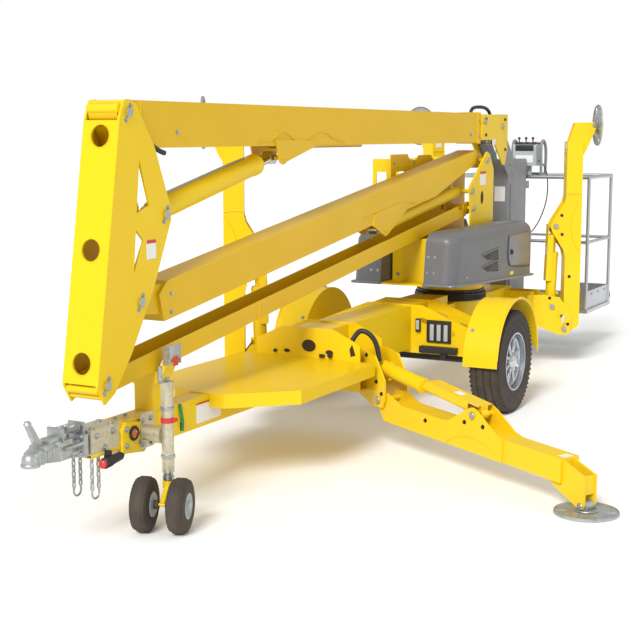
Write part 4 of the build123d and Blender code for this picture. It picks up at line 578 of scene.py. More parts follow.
@dataclass
class Workshop:
    """Makes materials and objects, and hangs each piece on its body."""

    shift: Vector
    nodes: dict
    repeats: Repeats = field(default_factory=Repeats)
    materials: dict = field(default_factory=dict)
    count: int = 0

    def material(self, finish: Finish) -> bpy.types.Material:
        """Returns the material of a finish, built once."""
        if finish.name not in self.materials:
            self.materials[finish.name] = self._mix(finish)
        return self.materials[finish.name]

    def _mix(self, finish: Finish) -> bpy.types.Material:
        """Builds a finish: slow colour patches, low dust, its grain as relief and gloss.

        Args:
            finish: what to build.

        Returns:
            The material.
        """
        made = bpy.data.materials.new(finish.name)
        made.use_nodes = True
        made.diffuse_color = linear(finish.colour)
        tree = made.node_tree
        shader = tree.nodes["Principled BSDF"]
        place = add_node(tree, "ShaderNodeTexCoord").outputs["Object"]
        patches = add_node(tree, "ShaderNodeTexNoise",
                           {"Scale": 1000 / finish.patch_mm, "Detail": 5.0, "Roughness": 0.6},
                           {"Vector": place})
        colour = add_node(tree, "ShaderNodeMix",
                          {6: linear(finish.colour), 7: linear(finish.second)},
                          {0: patches.outputs["Fac"]}, data_type="RGBA").outputs[2]
        grain_kind = "ShaderNodeTexVoronoi" if finish.surface in (
            Surface.METAL, Surface.MOULDED) else "ShaderNodeTexNoise"
        grain = add_node(tree, grain_kind, {"Scale": 1000 / finish.grain_mm}, {"Vector": place})
        if finish.surface is Surface.METAL:
            spangle = add_node(tree, "ShaderNodeMapRange", {3: 0.82, 4: 1.1},
                               {0: grain.outputs["Color"]})
            colour = add_node(tree, "ShaderNodeMix", {0: 1.0}, {6: colour, 7: spangle.outputs[0]},
                              data_type="RGBA", blend_type="MULTIPLY").outputs[2]
        if finish.dust:
            height = add_node(tree, "ShaderNodeSeparateXYZ", links={0: place})
            low = add_node(tree, "ShaderNodeMapRange", {1: 0.75, 2: 0.05, 3: 0.0, 4: finish.dust},
                           {0: height.outputs["Z"]})
            cloud = add_node(tree, "ShaderNodeTexNoise", {"Scale": 14.0, "Detail": 6.0},
                             {"Vector": place})
            amount = add_node(tree, "ShaderNodeMath", links={0: low.outputs[0],
                                                             1: cloud.outputs["Fac"]},
                              operation="MULTIPLY")
            colour = add_node(tree, "ShaderNodeMix", {7: linear("#8F7C62")},
                              {0: amount.outputs[0], 6: colour}, data_type="RGBA").outputs[2]
        tree.links.new(colour, shader.inputs["Base Color"])
        gloss = add_node(tree, "ShaderNodeMapRange",
                         {3: finish.roughness - 0.05, 4: finish.roughness + 0.08},
                         {0: patches.outputs["Fac"]})
        tree.links.new(gloss.outputs[0], shader.inputs["Roughness"])
        shader.inputs["Metallic"].default_value = finish.metallic
        if finish.surface is not Surface.METAL:
            shader.inputs["Specular IOR Level"].default_value = finish.gloss
        shader.inputs["Coat Weight"].default_value = finish.coat
        shader.inputs["Coat Roughness"].default_value = 0.18
        height_out = grain.outputs["Distance" if "Voronoi" in grain_kind else "Fac"]
        relief = add_node(tree, "ShaderNodeBump",
                          {"Strength": 0.5, "Distance": finish.relief_mm / 1000},
                          {"Height": height_out})
        tree.links.new(relief.outputs[0], shader.inputs["Normal"])
        return made

    def dress(self, finish: Finish, *names: str) -> None:
        """Gives CAD nodes their finish."""
        for name in names:
            piece = self.nodes[name]
            if not piece.data.materials:
                piece.data.materials.append(None)
            for slot in piece.material_slots:
                slot.material = self.material(finish)

    def hang(self, name: str, mesh: bpy.types.Mesh, body: str, finish: Finish) -> bpy.types.Object:
        """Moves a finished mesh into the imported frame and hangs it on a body.

        Args:
            name: name of the piece.
            mesh: mesh in the machine's own frame.
            body: CAD body that carries it.
            finish: its finish.

        Returns:
            The object.
        """
        mesh.transform(Matrix.Translation(self.shift))
        mesh.materials.clear()
        mesh.materials.append(self.material(finish))
        piece = bpy.data.objects.new(name, mesh)
        bpy.context.scene.collection.objects.link(piece)
        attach(piece, body)
        self.count += 1
        LOG.info("%s on %s: %d faces", name, body, len(mesh.polygons))
        return piece

    def bolts(self, name: str, spots: list[Spot], finish: Finish = ZINC, body: str = "chassis",
              head: float = 1.0, washer: float = 1.5) -> bpy.types.Object:
        """Sets hexagon heads on a body's faces.

        Args:
            name: name of the piece.
            spots: point on the face, outward direction and head radius of each.
            finish: their finish.
            body: CAD body that carries them.
            head: height of a head in radii.
            washer: radius of its washer in radii.

        Returns:
            The object.
        """
        base = bpy.data.meshes.new(name)
        base.from_pydata([spot[0] for spot in spots], [], [])
        axis = base.attributes.new("axis", "FLOAT_VECTOR", "POINT")
        axis.data.foreach_set("vector", [v for spot in spots for v in spot[1]])
        size = base.attributes.new("size", "FLOAT", "POINT")
        size.data.foreach_set("value", [spot[2] for spot in spots])
        made = self.repeats.run(self.repeats.bolt_tree, base,
                                {"Head Height": head, "Washer": washer,
                                 "Material": self.material(finish)})
        return self.hang(name, made, body, finish)

    def ring(self, count: int, radius: float, block: Point, finish: Finish, slant: float = 0.0,
             start: float = 0.0, height: float = 0.0) -> bpy.types.Mesh:
        """Makes blocks round the Z axis.

        Args:
            count: how many.
            radius: distance of their middles from the axis.
            block: size outward, round the ring and along the axis.
            finish: their finish.
            slant: turn about their own outward line, in radians.
            start: turn of the whole ring, in radians.
            height: place along the axis.

        Returns:
            The mesh, round the Z axis at the origin.
        """
        return self.repeats.run(self.repeats.ring_tree, bpy.data.meshes.new("ring"), {
            "Count": count, "Radius": radius, "Block": block, "Slant": slant, "Start": start,
            "Height": height, "Material": self.material(finish)})


def along_y(x: float, y: float, z: float) -> Matrix:
    """Returns the place that turns the Z axis onto Y, with its origin at the point."""
    return Matrix.Translation(Vector((x, y, z))) @ Matrix.Rotation(-math.pi / 2, 4, "X")


def both_sides(points: tuple[Flat, ...], y: float, radius: float) -> list[Spot]:
    """Returns spots for bolts that face outward at (x, z) points, y from the machine's middle."""
    return [((x, side * y, z), (0, side, 0), radius) for side in (NEAR, FAR) for x, z in points]


def oval(middle: Flat, half: Flat) -> list[Flat]:
    """Returns the corners of an oval opening round its middle."""
    turns = [step * math.pi / 12 for step in range(24)]
    return [(middle[0] + half[0] * math.cos(t), middle[1] + half[1] * math.sin(t)) for t in turns]


@dataclass
class Assembly:
    """One sub-assembly of the machine, with the workshop that makes its pieces."""

    shop: Workshop

    def piece(self, name: str, shape: Shape, finish: Finish, body: str = "chassis",
              smooth_degrees: float = 38.0) -> bpy.types.Object:
        """Closes a shape and hangs it on a body; returns the object."""
        return self.shop.hang(name, shape.mesh(name, smooth_degrees), body, finish)

    def film(self, name: str, x: Flat, y: Flat, z: Flat, body: str = "chassis",
             finish: Finish = FILM) -> None:
        """Lays a flat film between two ends along each axis."""
        self.piece(name, Shape().block(x, y, z), finish, body)


@dataclass
class RoadWheels(Assembly):
    """Tyre tread, sidewall ribs, wheel nuts and hub caps of the two road wheels."""

    tyre_radius: float = 0.343
    track: float = 1.440
    tyre_width: float = 0.205
    blocks: int = 60
    block: Point = (0.0075, 0.021, 0.034)
    rows: tuple[Point, ...] = ((-0.074, 0.30, 0.0), (-0.028, -0.12, 0.5), (0.028, 0.12, 0.25),
                               (0.074, -0.30, 0.75))
    shoulder_block: Point = (0.018, 0.014, 0.006)
    shoulder: float = 0.1000
    rib_radii: Point = (0.212, 0.226, 0.268)
    hub_face: float = 0.059
    spokes: int = 8
    nuts: int = 5
    nut_circle: float = 0.070

    def build(self) -> None:
        """Builds both wheels' fittings."""
        for name, side in SIDES:
            self._tread(name, side)
            self._ribs(name, side)
            self._hub(name, side)
            self._spokes(name, side)
            self.shop.dress(RUBBER, f"tyre_{name}")
            self.shop.dress(RIM, f"rim_{name}")

    def _tread(self, name: str, side: int) -> None:
        """Sets four rows of tread blocks and two of shoulder blocks on one tyre.

        Args:
            name: near or far.
            side: which way the wheel faces.
        """
        shape = Shape()
        step = 2 * math.pi / self.blocks
        sets = [(self.tyre_radius - 0.0045, self.block, slant, step * offset, height)
                for height, slant, offset in self.rows]
        sets += [(self.tyre_radius - 0.021, self.shoulder_block, 0.0, 0.0, height)
                 for height in (-self.shoulder, self.shoulder)]
        for radius, block, slant, start, height in sets:
            shape.merge(self.shop.ring(self.blocks, radius, block, RUBBER, slant, start, height),
                        along_y(0, side * self.track / 2, self.tyre_radius))
        self.piece(f"tread_blocks_{name}", shape, RUBBER, f"road_wheel_{name}", 20)

    def _ribs(self, name: str, side: int) -> None:
        """Turns the fine ribs of one tyre's outer sidewall.

        Args:
            name: near or far.
            side: which way the wheel faces.
        """
        ribs = Shape()
        face = side * (self.track / 2 + self.tyre_width / 2)
        for radius in self.rib_radii:
            ribs.lathe([(0.0, radius), (0.0022, radius + 0.0015), (0.0022, radius + 0.0045),
                        (0.0, radius + 0.006)], (0, face - side * 0.0005, self.tyre_radius),
                       (0, side, 0), 56, True)
        self.piece(f"sidewall_ribs_{name}", ribs, RUBBER, f"road_wheel_{name}")

    def _hub(self, name: str, side: int) -> None:
        """Fits the dust cap of one wheel.

        Args:
            name: near or far.
            side: which way the wheel faces.
        """
        hub = Shape().lathe([(0.0, 0.052), (0.022, 0.050), (0.034, 0.040), (0.044, 0.030),
                             (0.048, 0.0)], (0, self._face(side), self.tyre_radius),
                            (0, side, 0), 36)
        self.piece(f"dust_cap_{name}", hub, CHROME, f"road_wheel_{name}")

    def _spokes(self, name: str, side: int) -> None:
        """Raises the spokes' crowns and sets the wheel nuts between them.

        Args:
            name: near or far.
            side: which way the wheel faces.
        """
        face, up = self._face(side), self.tyre_radius
        crown = Shape().lathe([(0.0, 0.176), (0.012, 0.170), (0.018, 0.158), (0.010, 0.150),
                               (0.0, 0.148)], (0, face, up), (0, side, 0), 48, True)
        for n in range(self.spokes):
            angle = 2 * math.pi * (n + 0.5) / self.spokes
            across, along = math.cos(angle), math.sin(angle)
            crown.bar((0.050 * across, face + side * 0.010, up + 0.050 * along),
                      (0.152 * across, face + side * 0.004, up + 0.152 * along), 0.013, 10)
        self.piece(f"rim_spokes_{name}", crown, RIM, f"road_wheel_{name}")
        turns = [2 * math.pi * n / self.nuts + 0.3 for n in range(self.nuts)]
        spots = [((self.nut_circle * math.cos(turn), face, up + self.nut_circle * math.sin(turn)),
                  (0, side, 0), 0.0115) for turn in turns]
        self.shop.bolts(f"wheel_nuts_{name}", spots, CHROME, f"road_wheel_{name}", 1.8, 1.25)

    def _face(self, side: int) -> float:
        """Returns where the outer face of a wheel's hub stands along Y."""
        return side * (self.track / 2 + self.hub_face)


@dataclass
class Mudguards(Assembly):
    """Rolled edge and bolts of the two mudguards."""

    middle_x: float = 0.040
    radius: float = 0.415
    axle_z: float = 0.343
    outer_y: float = 0.824
    bolt_y: float = 0.628

    def build(self) -> None:
        """Builds both mudguards' trim."""
        self.shop.dress(YELLOW, "mudguard_near", "mudguard_far")
        for name, side in SIDES:
            arc = [math.radians(-1 + 175 * n / 14) for n in range(15)]
            path = [self._on_arc(angle, self.radius - 0.004, side * (self.outer_y - 0.003), 0.012)
                    for angle in arc]
            self.piece(f"mudguard_bead_{name}", Shape().tube(path, 0.0065, 3, 4), YELLOW)
            spots = [(self._on_arc(angle, self.radius, side * self.bolt_y),
                      (math.cos(angle), 0, math.sin(angle)), 0.009)
                     for angle in (math.radians(turn) for turn in (35, 90, 145))]
            self.shop.bolts(f"mudguard_bolts_{name}", spots)

    def _on_arc(self, angle: float, reach: float, y: float, lift: float = 0.0) -> Point:
        """Returns a point at an angle and reach from the mudguard's middle, lifted a little."""
        return (self.middle_x + reach * math.cos(angle), y,
                self.axle_z + lift + reach * math.sin(angle))


@dataclass
class Covers(Assembly):
    """Shells, lid seams, vents, latches, blank films and bolts of the two grey covers."""

    front_x: float = -0.040
    rear_x: float = 1.640
    inner_y: float = 0.156
    outer_y: float = 0.392
    seam_x: float = 1.055
    low_front_z: float = 0.812
    low_rear_z: float = 0.742
    shoulder_z: float = 1.095
    top_z: float = 1.175
    lean: float = 0.035
    shoulder: float = 0.070
    corner: float = 0.095
    flange: float = 0.006
    wall: float = 0.006
    vent_drop: float = 0.085

    def build(self) -> None:
        """Builds both covers' fittings."""
        self.shop.dress(HOOD, "cover_near", "cover_far")
        self.shop.dress(PACK, "power_pack_near", "power_pack_far")
        for name, side in SIDES:
            for step in (self._shell, self._rim, self._lid, self._vents, self._fittings):
                step(name, side)

    def low(self, x: float) -> float:
        """Returns the height of a cover's lower edge at x."""
        share = (x - self.front_x) / (self.rear_x - self.front_x)
        return self.low_front_z + share * (self.low_rear_z - self.low_front_z)

    def front_at(self, z: float) -> float:
        """Returns where a cover's leaning front wall stands at height z."""
        rise = max(0.0, z - self.low_front_z) / (self.shoulder_z - self.low_front_z)
        return self.front_x + self.lean * rise

    def _outline(self, side: int, lean: float, inset: float, z: float | None) -> list[Point]:
        """Walks round a cover at one level.

        Args:
            side: near or far.
            lean: share of the front wall's lean at this level.
            inset: how far the walls stand in.
            z: the level, or None along the sloping lower edge.

        Returns:
            The corners of the level.
        """
        x0 = self.front_x + self.lean * lean + inset
        x1, y0, y1 = self.rear_x - inset, self.inner_y + min(inset, 0.012), self.outer_y - inset
        r = self.corner
        flat = [(x0, y0)]
        for cx, turn in ((x0 + r, math.pi), (x1 - r, math.pi / 2)):
            for n in range(9):
                angle = turn - math.pi / 2 * n / 8
                flat.append((cx + r * math.cos(angle), y1 - r + r * math.sin(angle)))
        flat.append((x1, y0))
        return [(x, side * y, self.low(x) if z is None else z) for x, y in flat]

    def _shell(self, name: str, side: int) -> None:
        """Moulds a cover's shell: a flanged foot, a leaning front and a round shoulder.

        Args:
            name: near or far.
            side: near or far as a sign.
        """
        foot = self._outline(side, 0.0, 0.0, None)
        outer = [foot, [(x, y, z + 0.016) for x, y, z in foot],
                 [(x, y, z + 0.022) for x, y, z in self._outline(side, 0.0, self.flange, None)],
                 self._outline(side, 0.5, self.flange, 0.5 * (0.83 + self.shoulder_z))]
        rise = self.top_z - self.shoulder_z
        for n in range(7):
            angle = math.pi / 2 * n / 6
            inset = self.flange + self.shoulder * (1 - math.cos(angle))
            outer.append(self._outline(side, 1.0, inset, self.shoulder_z + rise * math.sin(angle)))
        inside = self.flange + self.wall
        inner = [self._outline(side, 1.0, inside + self.shoulder, self.top_z - self.wall),
                 self._outline(side, 1.0, inside, self.shoulder_z - self.wall),
                 self._outline(side, 0.0, inside, None)]
        shell = self.piece(f"cover_shell_{name}", Shape().loft(inner + outer), HOOD, "chassis", 30)
        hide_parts(f"cover_{name}")

    def _rim(self, name: str, side: int) -> None:
        """Runs the thick moulded bead round a cover's lower edge.

        Args:
            name: near or far.
            side: near or far as a sign.
        """
        r, inner = self.corner, self.inner_y + 0.006
        x0, x1, y1 = self.front_x, self.rear_x, self.outer_y
        path = [(x0, inner), (x0, y1 - r), (x0, y1), (x0 + r, y1), (x1 - r, y1), (x1, y1),
                (x1, y1 - r), (x1, inner)]
        points = [(x, side * y, self.low(x) + 0.008) for x, y in path]
        self.piece(f"cover_rim_{name}", Shape().tube(points, 0.0085, 3, 12), LID)

    def _lid(self, name: str, side: int) -> None:
        """Lays the lid's raised panel over the rear third of a cover, outside and on top.

        Args:
            name: near or far.
            side: near or far as a sign.
        """
        outer, x0, x1 = side * self.outer_y, self.seam_x, self.rear_x - 0.10
        outline = [(x0 + 0.03, 1.092), (x0, 1.065), (x0 - 0.006, 0.915), (x0 + 0.03, 0.868),
                   (x1, 0.846), (x1, 1.092)]
        lid = Shape().plate(outline, (outer - side * 0.008, outer + side * 0.001), 0.002)
        lid.block((x0 + 0.02, x1 + 0.01), (side * 0.200, side * 0.312), (1.172, 1.180), 0.003)
        self.piece(f"cover_lid_{name}", lid, LID)
        line = [(x0 - 0.012, 1.095), (x0 - 0.030, 1.040), (x0 - 0.030, 0.920), (x0 + 0.010, 0.850),
                (x1, 0.826)]
        seam = Shape().tube([(x, outer - side * 0.0054, z) for x, z in line], 0.0035)
        self.piece(f"cover_seam_{name}", seam, NYLON)

    def _vents(self, name: str, side: int) -> None:
        """Sets two swept vent recesses with slats, each with its moulded brow.

        Args:
            name: near or far.
            side: near or far as a sign.
        """
        outer = side * (self.outer_y - self.flange)
        dark, brow = Shape(), Shape()
        for drop in (0.0, self.vent_drop):
            outline = [(0.50, 0.988 - drop), (0.82, 1.012 - drop), (0.832, 0.934 - drop),
                       (0.60, 0.950 - drop)]
            dark.plate(outline, (outer - side * 0.001, outer + side * 0.0016))
            brow.tube([(x, outer + side * proud, z - drop) for x, proud, z in (
                (0.49, 0.002, 0.992), (0.66, 0.006, 1.010), (0.835, 0.003, 1.018))], 0.0065)
            for n in range(3):
                z = 0.952 - drop + 0.016 * n
                brow.tube([(0.62 + 0.02 * n, outer + side * 0.002, z),
                           (0.82, outer + side * 0.002, z + 0.006)], 0.0022, 2)
        self.piece(f"vent_shadow_{name}", dark, NYLON)
        self.piece(f"vent_brow_{name}", brow, HOOD)

    def _fittings(self, name: str, side: int) -> None:
        """Fits the latch, blank films and bolts of one cover.

        Args:
            name: near or far.
            side: near or far as a sign.
        """
        outer = side * (self.outer_y - self.flange)
        latch = Shape().block((1.070, 1.104), (outer, outer + side * 0.016), (0.950, 0.990), 0.004)
        latch.bar((1.087, outer + side * 0.014, 0.970), (1.087, outer + side * 0.024, 0.970), 0.010)
        self.piece(f"cover_latch_{name}", latch, NYLON)
        film = Shape()
        for x in (1.15, 1.32):
            film.block((x, x + 0.12), (outer + side * 0.001, outer + side * 0.0022), (1.00, 1.078))
        self.piece(f"cover_film_{name}", film, FILM)
        self.film(f"cover_yellow_film_{name}", (1.085, 1.165),
                  (outer + side * 0.0005, outer + side * 0.0016), (0.795, 0.820),
                  finish=YELLOW_FILM)
        spots = [((self.front_at(z) + self.flange, side * y, z), (-1, 0, 0), 0.0085)
                 for y in (0.185, 0.235) for z in (0.905, 1.010)]
        spots += [((x, outer, z), (0, side, 0), 0.008) for x, z in ((0.20, 0.86), (1.50, 0.80))]
        self.shop.bolts(f"cover_bolts_{name}", spots, head=0.6, washer=1.35)


@dataclass
class Knuckle(Assembly):
    """Pin plates, cross tubes, hose ends and blank film of the upright between the booms."""

    half: float = 0.100
    pins: tuple[Flat, ...] = ((-3.281, 1.937), (-3.212, 1.066), (-3.486, 0.718), (-2.997, 1.463))
    bolt_turn: float = 0.032
    tube_reach: float = 0.087
    tubes: tuple[Point, ...] = ((-3.327, 1.955, 0.022), (-3.300, 1.978, 0.016),
                                (-3.520, 0.700, 0.022), (-3.500, 0.668, 0.016))
    holes: Point = (1.833, 1.323, 0.818)
    hose_y: float = -0.0745
    hose_radius: float = 0.0125
    hose_ends: tuple[tuple[Flat, ...], ...] = (
        ((-3.100, 1.806), (-3.070, 1.790), (-3.010, 1.762), (-2.965, 1.752)),
        ((-3.320, 0.960), (-3.290, 0.905), (-3.275, 0.860), (-3.300, 0.815)))

    def build(self) -> None:
        """Builds the upright's fittings."""
        self.shop.dress(YELLOW, "knuckle")
        keepers = Shape().pins(self.pins, self.half + 0.006, self.half + 0.012, 0.023)
        self.piece("knuckle_pin_ends", keepers, ZINC, "knuckle")
        around = tuple((x + turn * 0.55, z + turn) for x, z in self.pins
                       for turn in (-self.bolt_turn, self.bolt_turn))
        self.shop.bolts("knuckle_bolts", both_sides(around, self.half, 0.0085), body="knuckle")
        tubes = Shape()
        for x, z, radius in self.tubes:
            tubes.bar((x, -self.tube_reach, z), (x, self.tube_reach, z), radius, 20)
        self.piece("knuckle_cross_tubes", tubes, YELLOW, "knuckle")
        rings = Shape()
        for z in self.holes:
            x = -3.552 + (z - 0.720) * (0.205 / 1.193)
            rings.lathe([(0.0, 0.0505), (0.0035, 0.0515), (0.0035, 0.0555), (0.0, 0.0565)],
                        (x + 0.0005, 0, z), (-1, 0, 0.17), 40, True)
        self.piece("knuckle_hole_edges", rings, YELLOW, "knuckle")
        ends = Shape()
        for route in self.hose_ends:
            ends.tube([(x, self.hose_y, z) for x, z in route], self.hose_radius, 3, 8)
        self.piece("knuckle_hose_ends", ends, NYLON, "knuckle")
        across = (-3.160, -3.085)
        self.film("knuckle_film", across, (-self.half - 0.0012, -self.half), (1.262, 1.352),
                  "knuckle")
        self.film("knuckle_film_stripe", across, (-self.half - 0.0018, -self.half - 0.0011),
                  (1.335, 1.352), "knuckle", RED_FILM)


@dataclass
class Booms(Assembly):
    """Weld beads, wear strips, pin ends and fittings of the booms, link and tip."""

    upper_half: float = 0.080
    lower_half: float = 0.076
    tip_half: float = 0.096
    upper_bead: tuple[Flat, ...] = (
        (-2.11, 1.800), (-1.96, 1.800), (-1.88, 1.852), (-1.80, 1.858), (-1.70, 1.806),
        (-1.58, 1.806), (-1.46, 1.852), (-1.34, 1.858), (-1.20, 1.806), (-1.08, 1.800))
    lower_bead: tuple[Flat, ...] = (
        (-0.82, 1.318), (-0.66, 1.345), (-0.54, 1.348), (-0.44, 1.312), (-0.34, 1.318),
        (-0.22, 1.375), (-0.10, 1.392), (0.02, 1.372), (0.16, 1.392))

    def build(self) -> None:
        """Builds the fittings of each boom section."""
        # The boom sections and the link get the darker copy of the yellow enamel: painted shade
        self.shop.dress(SHADED_YELLOW, "upper_boom", "inner_boom", "lower_boom", "tension_link")
        self.shop.dress(YELLOW, "boom_tip", "upper_lift_barrel", "lower_lift_barrel")
        self.shop.dress(CHROME, "upper_lift_rod", "lower_lift_rod", "level_rod")
        self.shop.dress(BLACK, "level_barrel")
        self._upper()
        self._lower()
        self._link()
        self._tip()
        self._cylinder("upper_lift", (-2.997, 1.463), (-1.838, 1.712), 1.030, 0.055)
        self._cylinder("lower_lift", (0.960, 1.420), (-0.480, 1.225), 1.250, 0.044)

    def _upper(self) -> None:
        """Adds the upper boom's welds, bolts, collar lips and wear strip."""
        weld = Shape().beads(self.upper_bead, self.upper_half + 0.0015, 0.0042)
        weld.beads(((-3.16, 1.990), (-3.16, 1.782)), self.upper_half + 0.001, 0.004, 2)
        self.piece("upper_boom_welds", weld, SHADED_YELLOW, "upper_boom")
        spots = both_sides(((1.180, 1.830), (1.180, 1.942)), 0.087, 0.008)
        spots += both_sides(((1.02, 1.842),), self.upper_half, 0.011)
        spots += both_sides(((-2.86, 1.850),), self.upper_half, 0.009)
        self.shop.bolts("upper_boom_bolts", spots, body="upper_boom")
        collar = Shape()
        for x in (1.150, 1.204):
            collar.block((x, x + 0.006), (-0.0895, 0.0895), (1.9975, 2.004), 0.001)
        self.piece("upper_boom_collar_lips", collar, YELLOW, "upper_boom")
        strip = Shape().block((-1.745, -0.79), (-0.056, 0.056), (1.763, 1.768), 0.001)
        self.piece("upper_boom_wear_strip", strip, DARK, "upper_boom")

    def _lower(self) -> None:
        """Adds the lower boom's welds and bolts."""
        weld = Shape().beads(self.lower_bead, self.lower_half + 0.0012, 0.0042)
        self.piece("lower_boom_welds", weld, SHADED_YELLOW, "lower_boom")
        spots = both_sides(((-2.93, 1.075), (-2.93, 0.985)), self.lower_half, 0.008)
        self.shop.bolts("lower_boom_bolts", spots, body="lower_boom")

    def _link(self) -> None:
        """Adds the tension link's welds and the bosses of its pins."""
        link = Shape().beads(((-2.09, 0.848), (-2.085, 0.938)), 0.0762, 0.0035, 2)
        for side in (NEAR, FAR):
            for x, z in ((-3.486, 0.718), (0.996, 1.294)):
                link.lathe([(0.0, 0.047), (0.003, 0.044), (0.003, 0.024), (0.0, 0.022)],
                           (x, side * 0.0748, z), (0, side, 0), 28, True)
        self.piece("link_welds", link, SHADED_YELLOW, "tension_link")

    def _tip(self) -> None:
        """Fits the tip's bolts, pin ends, tag, blank film and hose arch."""
        around = ((1.30, 1.955), (1.30, 1.835), (1.72, 1.955), (1.735, 1.72))
        self.shop.bolts("tip_bolts", both_sides(around, self.tip_half, 0.0095), DARK, "telescope")
        caps = Shape().pins(((1.670, 1.900), (1.278, 1.935)), 0.098, 0.108, 0.021)
        self.piece("tip_pin_ends", caps, ZINC, "telescope")
        tag = Shape().block((1.515, 1.530), (-0.1012, -0.0972), (1.630, 1.720), 0.001)
        self.piece("tip_tag", tag, GREEN, "telescope")
        self.film("tip_film", (1.44, 1.51), (-0.0975, -0.0962), (1.760, 1.800), "telescope")
        Hose(self.shop, "tip_hose_arch", "telescope",
             ((1.262, 0.02, 1.930), (1.262, 0.02, 1.990), (1.300, 0.02, 2.042), (1.42, 0.0, 2.050),
              (1.56, 0.0, 2.042), (1.655, 0.0, 1.995), (1.668, 0.0, 1.918)), 0.026).build()

    def _cylinder(self, name: str, base: Flat, eye: Flat, length: float, radius: float) -> None:
        """Adds the gland, port and pipe of one boom cylinder.

        Args:
            name: upper_lift or lower_lift.
            base: the barrel's pin as (x, z).
            eye: the rod's pin as (x, z).
            length: how far the barrel reaches from its pin.
            radius: the barrel's radius.
        """
        start = Vector((base[0], 0, base[1]))
        run = Vector((eye[0] - base[0], 0, eye[1] - base[1])).normalized()
        port = start + run * 0.12
        gland = Shape().lathe([(0.0, radius), (0.004, radius + 0.004), (0.040, radius + 0.004),
                               (0.044, radius - 0.004), (0.052, radius - 0.006)],
                              start + run * (length - 0.052), run, 32)
        gland.bar(port, port + Vector((0, 0, radius + 0.018)), 0.013, 12, 0.002)
        self.piece(f"{name}_gland", gland, YELLOW, f"{name}_barrel")
        above = Vector((0, 0, radius + 0.010))
        pipe = Shape().tube([port + above, start + run * 0.2 + above,
                             start + run * (length - 0.18) + above,
                             start + run * (length - 0.12) + above * 0.9], 0.0055, 3, 8)
        self.piece(f"{name}_pipe", pipe, ZINC, f"{name}_barrel")


@dataclass
class Hose(Assembly):
    """A black nylon-jacketed hose that leaves the machine and goes back into it."""

    name: str
    body: str
    route: tuple[Point, ...]
    diameter: float

    def build(self) -> bpy.types.Object:
        """Builds the hose as a round curve.

        Returns:
            The curve object.
        """
        points = [Vector(point) + self.shop.shift for point in self.route]
        curve = smooth_curve(self.name, points, self.diameter / 2, 4, 3, 8)
        curve.materials.append(self.shop.material(NYLON))
        piece = bpy.data.objects.new(self.name, curve)
        bpy.context.scene.collection.objects.link(piece)
        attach(piece, self.body)
        length = self._length(points)
        LOG.info("%s: %.0f mm of hose", self.name, length * 1000)
        return piece

    def _length(self, points: list[Vector]) -> float:
        """Measures the hose along its smooth line.

        Args:
            points: the route's control points.

        Returns:
            The length in metres.
        """
        mesh = curve_mesh(smooth_curve("line", points, 0.0, 4, 3, 8))
        line = [v.co.copy() for v in mesh.vertices]
        bpy.data.meshes.remove(mesh)
        return sum((b - a).length for a, b in zip(line, line[1:]))


